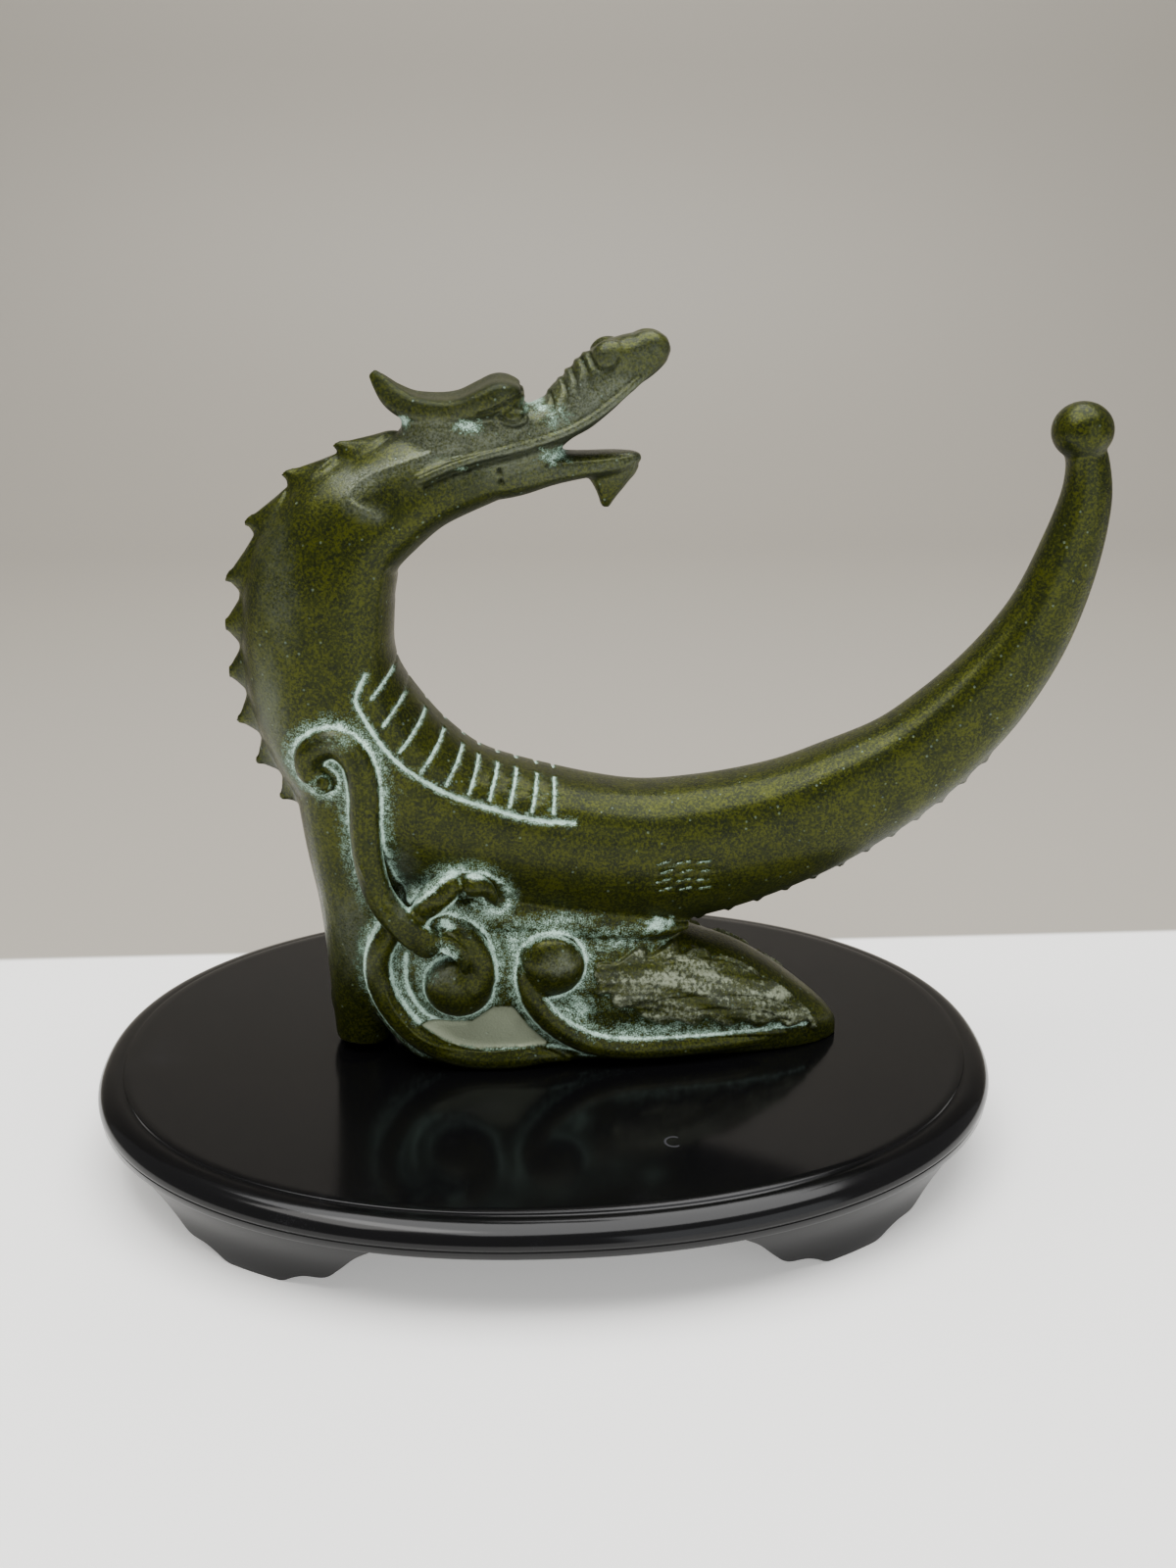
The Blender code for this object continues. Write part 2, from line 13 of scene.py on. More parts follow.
import bpy
import numpy as np
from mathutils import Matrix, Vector


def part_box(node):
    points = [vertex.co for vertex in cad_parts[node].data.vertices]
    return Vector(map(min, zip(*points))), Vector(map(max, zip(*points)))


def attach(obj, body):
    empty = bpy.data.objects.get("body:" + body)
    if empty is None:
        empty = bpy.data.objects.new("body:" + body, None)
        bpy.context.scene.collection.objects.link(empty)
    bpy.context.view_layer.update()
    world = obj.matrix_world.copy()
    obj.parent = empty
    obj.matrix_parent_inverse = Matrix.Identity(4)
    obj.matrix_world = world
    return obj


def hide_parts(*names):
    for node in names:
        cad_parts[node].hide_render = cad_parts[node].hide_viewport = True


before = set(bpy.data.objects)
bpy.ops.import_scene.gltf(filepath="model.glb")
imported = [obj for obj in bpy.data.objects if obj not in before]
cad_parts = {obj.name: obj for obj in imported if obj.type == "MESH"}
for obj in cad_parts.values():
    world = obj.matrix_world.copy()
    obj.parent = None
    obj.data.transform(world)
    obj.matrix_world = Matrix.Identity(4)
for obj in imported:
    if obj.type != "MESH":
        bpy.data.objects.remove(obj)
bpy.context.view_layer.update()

LOG = logging.getLogger("dragon")

Row = tuple[float, ...]
Rows = tuple[Row, ...]
Array = np.ndarray
Node = bpy.types.Node
Socket = bpy.types.NodeSocket
Tree = bpy.types.NodeTree

PHOTO_HEIGHT_PX = 1600
FOCAL_PX = 1700
CAD_SHARES = 299.8
WORN_RING_AT = (0.047, -0.085, 0)


class Flank(Enum):
    """The two sides of the dragon: the one towards the front, and the far one."""

    NEAR = -1
    FAR = 1


def smooth_rows(rows: Rows, count: int) -> Array:
    """Reads rows evenly along a Catmull-Rom curve.

    Args:
        rows: the stations, whatever their columns hold.
        count: how many rows to read.

    Returns:
        The rows read, as an array.
    """
    known = np.array(rows, float)
    padded = np.vstack([2 * known[0] - known[1], known, 2 * known[-1] - known[-2]])
    places = np.linspace(0, len(known) - 1, count)
    spans = np.minimum(places.astype(int), len(known) - 2)
    t = (places - spans)[:, None]
    before, start, end, after = (padded[spans + step] for step in range(4))
    return 0.5 * (
        2 * start + (end - before) * t + (2 * before - 5 * start + 4 * end - after) * t**2
        + (3 * start - before - 3 * end + after) * t**3
    )


def rounded(angle: Array, power: float) -> tuple[Array, Array]:
    """Cosine and sine squared up as on a superellipse.

    Args:
        angle: angles in radians.
        power: 2 for an ellipse, more for a squarer outline.

    Returns:
        The two arrays.
    """
    c, s = np.cos(angle), np.sin(angle)
    return np.sign(c) * np.abs(c) ** (2 / power), np.sign(s) * np.abs(s) ** (2 / power)


def outward_of(rows: Array) -> Array:
    """Unit directions to the right of a path in the XZ plane: on the crescent, away from its hollow.

    Args:
        rows: the path, with x and z in its first two columns.

    Returns:
        A direction for each row.
    """
    along = np.gradient(rows[:, :2], axis=0)
    along /= np.linalg.norm(along, axis=1)[:, None]
    return np.stack([along[:, 1], -along[:, 0]], axis=1)


def distance_to(points: Array, line: Array) -> Array:
    """Distance of each point from a polyline.

    Args:
        points: the points, in two or three columns.
        line: the polyline's corners, in as many columns.

    Returns:
        One distance for each point.
    """
    nearest = np.full(len(points), np.inf)
    for start, end in zip(line[:-1], line[1:]):
        span = end - start
        t = np.clip(((points - start) @ span) / max(span @ span, 1e-9), 0, 1)
        nearest = np.minimum(nearest, np.linalg.norm(points - start - t[:, None] * span, axis=1))
    return nearest


def bump(near: Array, width: float) -> Array:
    """1 on a line, falling smoothly to 0 at half the width from it."""
    return np.where(near < width / 2, np.cos(np.pi * np.minimum(near, width / 2) / width) ** 2, 0.0)


def soft_step(value: Array, low: float, high: float) -> Array:
    """0 below low, 1 above high, and a smooth rise between them."""
    t = np.clip((value - low) / (high - low), 0, 1)
    return t * t * (3 - 2 * t)


def mesh_column(collection: object, attribute: str, width: int = 3) -> Array:
    """Reads one attribute of a mesh's vertices or edges.

    Args:
        collection: the vertices, edges or normals.
        attribute: what to read of them.
        width: how many numbers each has.

    Returns:
        An array with a row for each.
    """
    kind = np.int32 if attribute == "vertices" else np.float64
    values = np.empty(len(collection) * width, kind)
    collection.foreach_get(attribute, values)
    return values.reshape(-1, width)


def evaluated_mesh(obj: bpy.types.Object) -> bpy.types.Mesh:
    """A new mesh of the object with its modifiers applied."""
    graph = bpy.context.evaluated_depsgraph_get()
    return bpy.data.meshes.new_from_object(obj.evaluated_get(graph))


def put_in_scene(name: str, mesh: bpy.types.Mesh) -> bpy.types.Object:
    """Puts a mesh in the scene.

    Args:
        name: the object's name.
        mesh: what it holds.

    Returns:
        The object, at the origin.
    """
    obj = bpy.data.objects.new(name, mesh)
    bpy.context.scene.collection.objects.link(obj)
    return obj


class Forms:
    """Closed shells gathered in one list of points and faces."""

    def __init__(self) -> None:
        """Starts empty."""
        self.points: list[tuple[float, ...]] = []
        self.faces: list[tuple[int, ...]] = []

    def add_rings(self, rings: Array) -> None:
        """Joins rings into a closed shell, capped at both ends and turned outwards.

        Args:
            rings: rings of points, all of one length.
        """
        rings = np.asarray(rings, float)
        count, sides = rings.shape[:2]
        points = np.vstack([rings.reshape(-1, 3), rings[0].mean(axis=0), rings[-1].mean(axis=0)])
        head, foot = count * sides, count * sides + 1
        faces = []
        for i in range(count - 1):
            for j in range(sides):
                k = (j + 1) % sides
                faces.append((i * sides + j, i * sides + k, (i + 1) * sides + k, (i + 1) * sides + j))
        for j in range(sides):
            k = (j + 1) % sides
            faces.append((head, k, j))
            faces.append((foot, (count - 1) * sides + j, (count - 1) * sides + k))
        volume = 0.0
        for face in faces:
            for i in range(1, len(face) - 1):
                volume += np.dot(points[face[0]], np.cross(points[face[i]], points[face[i + 1]]))
        if volume < 0:
            faces = [face[::-1] for face in faces]
        first = len(self.points)
        self.points += [tuple(p) for p in points]
        self.faces += [tuple(first + corner for corner in face) for face in faces]

    def add_flat_tube(self, stations: Rows, count: int, sides: int = 32, power: float = 2.3,
                      narrowing: float = 0.0, hollow: float = 0.0) -> None:
        """Adds a tube that bends in the XZ plane only.

        Args:
            stations: x, z, half height and half depth.
            count: rings along it.
            sides: points round a ring.
            power: how square its section is.
            narrowing: how much narrower its outer side is than its inner side.
            hollow: how far the side away from the path's right is dished, as a share of the half height.
        """
        rows = smooth_rows(stations, count)
        outward = outward_of(rows)
        out, across = rounded(np.linspace(0, 2 * math.pi, sides, endpoint=False), power)
        dish = np.where(out < 0, hollow * (1 - across**2), 0)
        across = across * (1 - narrowing * out)
        lift = rows[:, 2, None] * (out + dish)
        rings = np.zeros((count, sides, 3))
        rings[:, :, 0] = rows[:, 0, None] + outward[:, 0, None] * lift
        rings[:, :, 1] = rows[:, 3, None] * across
        rings[:, :, 2] = rows[:, 1, None] + outward[:, 1, None] * lift
        self.add_rings(rings)

    def add_tube(self, stations: Rows, count: int, sides: int = 20, flank: Flank = Flank.FAR) -> None:
        """Adds a round tube with domed ends.

        Args:
            stations: x, depth, z and radius.
            count: rings along it.
            sides: points round a ring.
            flank: the side it lies on.
        """
        rows = smooth_rows(stations, count)
        path = rows[:, :3] * (1, flank.value, 1)
        along = np.gradient(path, axis=0)
        along /= np.linalg.norm(along, axis=1)[:, None]
        side = np.cross(along, (0, 1, 0))
        side /= np.linalg.norm(side, axis=1)[:, None]
        up = np.cross(side, along)
        angle = np.linspace(0, 2 * math.pi, sides, endpoint=False)[None, :, None]
        spokes = np.cos(angle) * side[:, None] + np.sin(angle) * up[:, None]
        rings = path[:, None] + rows[:, 3, None, None] * spokes
        ends = []
        domed_end = ((0.8, 0.6), (0.45, 0.9))
        for i, step in ((0, -1), (-1, 1)):
            for shrink, reach in domed_end:
                ends.append(path[i] + (rings[i] - path[i]) * shrink + step * along[i] * rows[i, 3] * reach)
        self.add_rings([ends[1], ends[0], *rings, ends[2], ends[3]])

    def add_ball(self, middle: Row, radii: Row, flank: Flank = Flank.FAR, rows: int = 20,
                 sides: int = 32) -> None:
        """Adds a ball, stretched to its radii.

        Args:
            middle: its middle, with the depth as on the far flank.
            radii: its three radii.
            flank: the side it lies on.
            rows: steps from top to bottom.
            sides: points round a ring.
        """
        angle = np.linspace(0, 2 * math.pi, sides, endpoint=False)
        flat = np.stack([np.cos(angle), np.sin(angle), 0 * angle], 1)
        rings = []
        for i in range(1, rows):
            bearing = math.pi * i / rows
            ring = math.sin(bearing) * flat + (0, 0, math.cos(bearing))
            rings.append(ring * radii + np.multiply(middle, (1, flank.value, 1)))
        self.add_rings(rings)

    def add_mesh(self, mesh: bpy.types.Mesh) -> None:
        """Adds a mesh that is closed already.

        Args:
            mesh: the mesh.
        """
        first = len(self.points)
        self.points += [tuple(vertex.co) for vertex in mesh.vertices]
        self.faces += [tuple(first + corner for corner in face.vertices) for face in mesh.polygons]

    def to_mesh(self, name: str) -> bpy.types.Mesh:
        """The gathered shells as one mesh.

        Args:
            name: its name.

        Returns:
            The mesh.
        """
        mesh = bpy.data.meshes.new(name)
        mesh.from_pydata(self.points, [], self.faces)
        return mesh


class NodeTree:
    """A small hand for building node trees: nodes by type, links by name."""

    def __init__(self, tree: Tree) -> None:
        """Works on an existing tree."""
        self.tree = tree

    def add(self, kind: str, links: dict[str | int, object] | None = None, **settings: object) -> Node:
        """Adds a node.

        Args:
            kind: the node's type.
            links: for each input, a value or an output socket to link.
            settings: properties set on the node.

        Returns:
            The node.
        """
        node = self.tree.nodes.new(kind)
        for key, value in settings.items():
            setattr(node, key, value)
        self.feed(node, links or {})
        return node

    def feed(self, node: Node, links: dict[str | int, object]) -> None:
        """Fills inputs of a node.

        Args:
            node: the node.
            links: for each input, a value or an output socket to link.
        """
        for key, value in links.items():
            socket = node.inputs[key]
            if isinstance(value, Socket):
                self.tree.links.new(value, socket)
            else:
                socket.default_value = value

    def attribute(self, name: str) -> Socket:
        """A value that the mesh carries."""
        return self.add("ShaderNodeAttribute", attribute_name=name).outputs["Fac"]

    def math(self, operation: str, *values: object) -> Socket:
        """A Math node's output for the given inputs."""
        return self.add("ShaderNodeMath", dict(enumerate(values)), operation=operation).outputs[0]

    def plus(self, a: object, b: object) -> Socket:
        """The sum of two inputs."""
        return self.math("ADD", a, b)

    def less(self, a: object, b: object) -> Socket:
        """The first input less the second."""
        return self.math("SUBTRACT", a, b)

    def times(self, a: object, b: object) -> Socket:
        """The product of two inputs."""
        return self.math("MULTIPLY", a, b)

    def mix(self, share: object, a: object, b: object) -> Socket:
        """A colour between two others."""
        return self.add("ShaderNodeMix", {0: share, 6: a, 7: b}, data_type="RGBA").outputs[2]

    def ramp(self, value: object, low: float, high: float) -> Socket:
        """A value mapped smoothly from low..high to 0..1."""
        node = self.add("ShaderNodeMapRange", {0: value, 1: low, 2: high}, interpolation_type="SMOOTHSTEP")
        return node.outputs[0]

    def noise(self, place: object, scale: object, detail: float = 4.0, roughness: float = 0.55) -> Socket:
        """Noise at a scale in cycles for each metre."""
        links = {"Vector": place, "Scale": scale, "Detail": detail, "Roughness": roughness}
        return self.add("ShaderNodeTexNoise", links).outputs["Fac"]


def new_group(name: str, inputs: dict[str, float], outputs: dict[str, str]) -> tuple[NodeTree, object, Node]:
    """Starts a shader node group.

    Args:
        name: the group's name.
        inputs: value inputs and their defaults; a Vector input named Place is always first.
        outputs: outputs and their socket types.

    Returns:
        A hand on its tree, the sockets of its inputs, and its output node.
    """
    tree = bpy.data.node_groups.new(name, "ShaderNodeTree")
    tree.interface.new_socket("Place", in_out="INPUT", socket_type="NodeSocketVector")
    for key, value in inputs.items():
        tree.interface.new_socket(key, in_out="INPUT", socket_type="NodeSocketFloat").default_value = value
    for key, kind in outputs.items():
        tree.interface.new_socket(key, in_out="OUTPUT", socket_type=kind)
    return NodeTree(tree), tree.nodes.new("NodeGroupInput").outputs, tree.nodes.new("NodeGroupOutput")


def mottle_group() -> Tree:
    """Soft clouds broken by grain: masks for mottled patina and for dust on the lacquer.

    Returns:
        The group.
    """
    inputs = {"Cloud Scale": 60.0, "Grain Scale": 500.0, "Grain Share": 0.5, "Bias": 0.5, "Contrast": 0.2}
    hand, given, made = new_group("mottle", inputs, {"Mask": "NodeSocketFloat"})
    share, bias, contrast = given["Grain Share"], given["Bias"], given["Contrast"]
    cloud = hand.noise(given["Place"], given["Cloud Scale"], detail=5.0, roughness=0.62)
    grain = hand.noise(given["Place"], given["Grain Scale"], detail=3.0, roughness=0.6)
    mixed = hand.plus(hand.times(cloud, hand.less(1.0, share)), hand.times(grain, share))
    hand.feed(made, {"Mask": hand.ramp(mixed, hand.less(bias, contrast), hand.plus(bias, contrast))})
    return hand.tree


def cast_grain_group(pit_scale: float = 170.0, pit_rim: Row = (0.05, 0.12),
                     pit_depth: float = 0.0003) -> Tree:
    """Fine unevenness of a surface as a normal: slow waviness, grain and sparse pits.

    Args:
        pit_scale: cells that can hold a pit, for each metre.
        pit_rim: where a pit's rim starts and ends, in cells from its middle.
        pit_depth: how deep a pit is, in metres.

    Returns:
        The group.
    """
    inputs = {"Grain Scale": 900.0, "Grain Depth": 0.00005, "Wave Scale": 60.0, "Wave Depth": 0.0002,
              "Pits": 0.0}
    outputs = {"Normal": "NodeSocketVector", "Pit Mask": "NodeSocketFloat"}
    hand, given, made = new_group("cast_grain", inputs, outputs)
    place = given["Place"]
    grain = hand.noise(place, given["Grain Scale"], detail=3.0, roughness=0.5)
    wave = hand.noise(place, given["Wave Scale"], detail=1.0, roughness=0.5)
    links = {"Vector": place, "Scale": pit_scale, "Randomness": 1.0}
    cells = hand.add("ShaderNodeTexVoronoi", links).outputs["Distance"]
    pit = hand.times(hand.less(1.0, hand.ramp(cells, *pit_rim)), given["Pits"])
    height = hand.plus(hand.times(grain, given["Grain Depth"]), hand.times(wave, given["Wave Depth"]))
    height = hand.less(height, hand.times(pit, pit_depth))
    links = {"Height": height, "Strength": 1.0, "Distance": 1.0}
    normal = hand.add("ShaderNodeBump", links).outputs["Normal"]
    hand.feed(made, {"Normal": normal, "Pit Mask": pit})
    return hand.tree


def use_group(hand: NodeTree, tree: Tree, place: object, values: Row) -> Node:
    """Places a node group.

    Args:
        hand: where to place it.
        tree: the group.
        place: the coordinates for its Place input.
        values: its value inputs, in their order.

    Returns:
        The group's node.
    """
    return hand.add("ShaderNodeGroup", dict(enumerate((place, *values))), node_tree=tree)


def new_material(name: str) -> tuple[bpy.types.Material, Node, NodeTree, Socket]:
    """Starts a material.

    Args:
        name: its name.

    Returns:
        The material, its shader, a hand on its tree, and object coordinates.
    """
    material = bpy.data.materials.new(name)
    material.use_nodes = True
    hand = NodeTree(material.node_tree)
    place = hand.add("ShaderNodeTexCoord").outputs["Object"]
    return material, material.node_tree.nodes["Principled BSDF"], hand, place


@dataclass(frozen=True)
class BronzePatina:
    """Dark olive patina, mottled and waxed, greyer where hands rub it and mint in the hollows, and painted
    darker in umber where the casting marks painted shade.

    A mottle is cloud scale, grain scale, grain share, bias and contrast. The surface is grain scale and
    depth, wave scale and depth, and share of pits. A rise is where a mask starts and where it is full.
    """

    olive: Row = (0.0185, 0.0235, 0.0032, 1)
    moss: Row = (0.048, 0.055, 0.0036, 1)
    umber: Row = (0.0075, 0.0105, 0.0045, 1)
    grey: Row = (0.128, 0.144, 0.108, 1)
    sand: Row = (0.33, 0.37, 0.26, 1)
    mint: Row = (0.58, 0.82, 0.70, 1)
    teal: Row = (0.115, 0.175, 0.125, 1)
    moss_mottle: Row = (85.0, 800.0, 0.68, 0.505, 0.085)
    umber_mottle: Row = (110.0, 950.0, 0.7, 0.54, 0.06)
    grey_mottle: Row = (45.0, 1100.0, 0.6, 0.5, 0.12)
    sand_mottle: Row = (75.0, 700.0, 0.5, 0.5, 0.1)
    green_mottle: Row = (330.0, 1700.0, 0.6, 0.5, 0.13)
    surface: Row = (1200.0, 0.00016, 55.0, 0.0004, 0.5)
    umber_share: float = 0.8
    bloom_least: float = 0.25
    bloom_swing: float = 0.7
    sand_gain: float = 1.65
    sand_loss: float = 0.75
    sand_rise: Row = (0.0, 1.05)
    shade_share: float = 0.75
    green_gain: float = 1.9
    green_loss: float = 0.95
    teal_rise: Row = (0.0, 0.5)
    mint_rise: Row = (0.40, 1.25)
    chalk_rise: Row = (0.05, 0.6)
    roughness: float = 0.34
    rough_swing: float = 0.14
    chalk_roughness: float = 0.4
    sand_roughness: float = 0.3
    shade_roughness: float = 0.25
    metallic: float = 0.42
    gloss: float = 0.09
    coat: float = 0.11
    coat_roughness: float = 0.17
    speck_share: float = 0.2

    def build(self, mottle: Tree, grain: Tree) -> bpy.types.Material:
        """Builds the material.

        Args:
            mottle: the shared mottling group.
            grain: the shared surface group.

        Returns:
            The material; it reads the casting's verdigris, bloom, painted shade and sand attributes.
        """
        material, shader, hand, place = new_material("bronze_patina")
        names = ("verdigris", "bloom", "shade", "sand")
        green_mask, worn_mask, shade_mask, sand_mask = (hand.attribute(name) for name in names)

        def mottled(figures: Row) -> Socket:
            """The mask of one mottle."""
            return use_group(hand, mottle, place, figures).outputs["Mask"]

        base = hand.mix(mottled(self.moss_mottle), self.olive, self.moss)
        base = hand.mix(hand.times(mottled(self.umber_mottle), self.umber_share), base, self.umber)
        grey_noise = mottled(self.grey_mottle)
        bloom = hand.times(worn_mask, hand.plus(self.bloom_least, hand.times(grey_noise, self.bloom_swing)))
        base = hand.mix(bloom, base, self.grey)
        patchy = hand.times(mottled(self.sand_mottle), self.sand_loss)
        sandy = hand.less(hand.times(sand_mask, self.sand_gain), patchy)
        base = hand.mix(hand.ramp(sandy, *self.sand_rise), base, self.sand)
        # painted shade: umber laid where the casting marks shade, on undersides, in crevices and in the
        # crest's dish
        base = hand.mix(hand.times(shade_mask, self.shade_share), base, self.umber)
        broken = hand.times(mottled(self.green_mottle), self.green_loss)
        green = hand.math("MAXIMUM", hand.less(hand.times(green_mask, self.green_gain), broken), 0.0)
        base = hand.mix(hand.ramp(green, *self.teal_rise), base, self.teal)
        base = hand.mix(hand.ramp(green, *self.mint_rise), base, self.mint)
        chalk = hand.ramp(green, *self.chalk_rise)
        rough = hand.plus(self.roughness - self.rough_swing / 2, hand.times(grey_noise, self.rough_swing))
        for mask, more in ((chalk, self.chalk_roughness), (sand_mask, self.sand_roughness),
                           (shade_mask, self.shade_roughness)):
            rough = hand.plus(rough, hand.times(mask, more))
        surface = use_group(hand, grain, place, self.surface)
        base = hand.mix(hand.times(surface.outputs["Pit Mask"], self.speck_share), base, self.mint)
        hand.feed(shader, {
            "Base Color": base, "Roughness": rough, "Normal": surface.outputs["Normal"],
            "Metallic": hand.times(hand.less(1.0, chalk), self.metallic), "Specular IOR Level": self.gloss,
            "Coat Weight": hand.times(hand.less(1.0, shade_mask), self.coat),
            "Coat Roughness": self.coat_roughness,
        })
        return material


@dataclass(frozen=True)
class BlackLacquer:
    """Black gloss lacquer with faint dust, and a small worn ring near the front."""

    black: Row = (0.0026, 0.0026, 0.0030, 1)
    dust: Row = (0.016, 0.016, 0.018, 1)
    ring_mark: Row = (0.03, 0.03, 0.034, 1)
    dust_mottle: Row = (30.0, 1800.0, 0.5, 0.62, 0.03)
    surface: Row = (700.0, 0.000004, 22.0, 0.00006, 0.0)
    dust_share: float = 0.5
    ring_radius: float = 0.0034
    ring_fade: Row = (0.0002, 0.0007)
    ring_gap: Row = (0.0012, 0.0026)
    ring_roughness: float = 0.3
    roughness: float = 0.10
    rough_swing: float = 0.07
    rough_scale: float = 35.0
    gloss: float = 0.26

    def build(self, mottle: Tree, grain: Tree, ring_at: Vector) -> bpy.types.Material:
        """Builds the material.

        Args:
            mottle: the shared mottling group.
            grain: the shared surface group.
            ring_at: the middle of the worn ring.

        Returns:
            The material.
        """
        material, shader, hand, place = new_material("black_lacquer")
        specks = use_group(hand, mottle, place, self.dust_mottle).outputs["Mask"]
        from_ring = hand.add("ShaderNodeVectorMath", {0: place, 1: ring_at}, operation="SUBTRACT").outputs[0]
        away = hand.add("ShaderNodeVectorMath", {0: from_ring}, operation="LENGTH").outputs["Value"]
        off_ring = hand.math("ABSOLUTE", hand.less(away, self.ring_radius))
        sideways = hand.add("ShaderNodeSeparateXYZ", {0: from_ring}).outputs["X"]
        ring = hand.less(1.0, hand.ramp(off_ring, *self.ring_fade))
        ring = hand.times(ring, hand.less(1.0, hand.ramp(sideways, *self.ring_gap)))
        base = hand.mix(hand.times(specks, self.dust_share), self.black, self.dust)
        rough = hand.plus(self.roughness, hand.times(hand.noise(place, self.rough_scale), self.rough_swing))
        hand.feed(shader, {
            "Base Color": hand.mix(ring, base, self.ring_mark), "Specular IOR Level": self.gloss,
            "Roughness": hand.plus(rough, hand.times(ring, self.ring_roughness)),
            "Normal": use_group(hand, grain, place, self.surface).outputs["Normal"],
        })
        return material


@dataclass(frozen=True)
class Body:
    """The crescent of body and tail, the ball at its end and the spiked ridge of its back."""

    stations: Rows = (
        (-20, 252.5, 15.5, 16), (-46, 245, 19.5, 19.5), (-62.5, 235, 21.8, 21.5), (-76, 224.5, 25.6, 23.5),
        (-85, 208.5, 28.8, 25), (-88, 193, 29.6, 25.5), (-88.5, 176, 29.8, 26), (-85.5, 159, 31, 26.5),
        (-77, 141, 32.5, 27), (-62, 121, 33.5, 27), (-39, 104, 33, 27), (-5, 93, 32.6, 26.5),
        (34, 86.5, 31.5, 25), (68, 90, 29.6, 23), (102, 99.5, 26.6, 21), (128, 111.5, 24.4, 19),
        (149.5, 124, 21.8, 17), (166, 138, 20.2, 15.5), (181.5, 154.5, 18.4, 14), (194.5, 173, 16.2, 12.5),
        (203.5, 191, 14.2, 11), (210.5, 213, 12.4, 9.5), (214.5, 233, 10.2, 8.2), (214, 247, 8.4, 7.6),
        (211, 256, 7.5, 7.5),
    )
    rings: int = 320
    back_narrowing: float = 0.20
    ball_middle: Row = (210.3, 0, 261)
    ball_radii: Row = (12, 12, 11.3)
    spine: Rows = (
        (0.00, 22.5, 6.6, 7.0, 0.88), (0.15, 22.5, 7.8, 6.8, 0.80), (0.20, 20, 8.6, 6.2, 0.55),
        (0.27, 17.5, 8.4, 5.6, 0.50), (0.45, 14, 4.9, 4.6, 0.50), (0.60, 12.8, 3.4, 3.8, 0.50),
        (0.80, 12, 2.8, 3.2, 0.50),
    )
    spikes_from: float = 0.050
    spikes_to: float = 0.785
    ridge_radius: Row = (5.0, 2.4)
    ridge_sink: float = 0.62
    spike_sides: int = 20
    spike_steps: int = 24
    spike_tip: float = 0.24
    spike_hollow: float = 0.80
    spike_root_share: float = 0.40
    spike_overlap: float = 0.56

    def back_line(self) -> tuple[Array, Array, Array]:
        """The back's middle line.

        Returns:
            Its points, their outward directions and their distances along it.
        """
        rows = smooth_rows(self.stations, 800)
        outward = outward_of(rows)
        line = rows[:, :2] + outward * rows[:, 2, None]
        steps = np.linalg.norm(np.diff(line, axis=0), axis=1)
        return line, outward, np.concatenate([[0], np.cumsum(steps)])

    def add_to(self, forms: Forms) -> None:
        """Adds the crescent, its ball, the ridge and the spikes.

        Args:
            forms: where to add them.
        """
        forms.add_flat_tube(self.stations, self.rings, sides=64, power=2.35, narrowing=self.back_narrowing)
        forms.add_ball(self.ball_middle, self.ball_radii, rows=40, sides=60)
        line, outward, distance = self.back_line()
        ridge = []
        for share in np.linspace(self.spikes_from, self.spikes_to, 60):
            here = share * distance[-1]
            radius = self.ridge_radius[0] + (self.ridge_radius[1] - self.ridge_radius[0]) * share
            x, z, out_x, out_z = (np.interp(here, distance, column) for column in (*line.T, *outward.T))
            sink = radius * self.ridge_sink
            ridge.append((x - out_x * sink, 0, z - out_z * sink, radius))
        forms.add_tube(tuple(ridge), 300)
        forms.add_mesh(self.spike_mesh())

    def spike_places(self) -> list[dict[str, tuple[float, ...]]]:
        """Where each spike stands.

        Returns:
            For each spike its place on the back, its outward direction, its size and how far its tip leans.
        """
        line, outward, distance = self.back_line()
        trend = np.array(self.spine).T
        places = []
        here = self.spikes_from * distance[-1]
        while here < self.spikes_to * distance[-1]:
            share = here / distance[-1]
            pitch, height, half_depth, lean = (np.interp(share, trend[0], column) for column in trend[1:])
            tip, middle = here + pitch * lean, here + pitch / 2
            x, z = (np.interp(middle, distance, column) for column in line.T)
            out_x, out_z = (np.interp(middle, distance, column) for column in outward.T)
            tip_x, tip_z = (np.interp(tip, distance, column) for column in line.T)
            places.append({
                "place": (x, 0.0, z), "outward": (out_x, 0.0, out_z), "lean": (tip_x - x, 0.0, tip_z - z),
                "size": (pitch * self.spike_overlap, half_depth, height / (1 - self.spike_root_share)),
            })
            here += pitch
        return places

    def spike_mesh(self) -> bpy.types.Mesh:
        """The spikes, made by Geometry Nodes from a point for each.

        Returns:
            All of them as one mesh.
        """
        places = self.spike_places()
        mesh = bpy.data.meshes.new("spike_points")
        mesh.from_pydata([spike["place"] for spike in places], [], [])
        for name in ("outward", "size", "lean"):
            values = np.array([spike[name] for spike in places], np.float32)
            mesh.attributes.new(name, "FLOAT_VECTOR", "POINT").data.foreach_set("vector", values.ravel())
        holder = put_in_scene("spike_points", mesh)
        modifier = holder.modifiers.new("Spikes", "NODES")
        modifier.node_group = spike_tree()
        values = {"Sides": self.spike_sides, "Steps": self.spike_steps, "Blunt Tip": self.spike_tip,
                  "Hollow": self.spike_hollow, "Root Share": self.spike_root_share}
        for item in modifier.node_group.interface.items_tree:
            if getattr(item, "in_out", "") == "INPUT" and item.name in values:
                modifier[item.identifier] = values[item.name]
        made = evaluated_mesh(holder)
        bpy.data.objects.remove(holder, do_unlink=True)
        return made


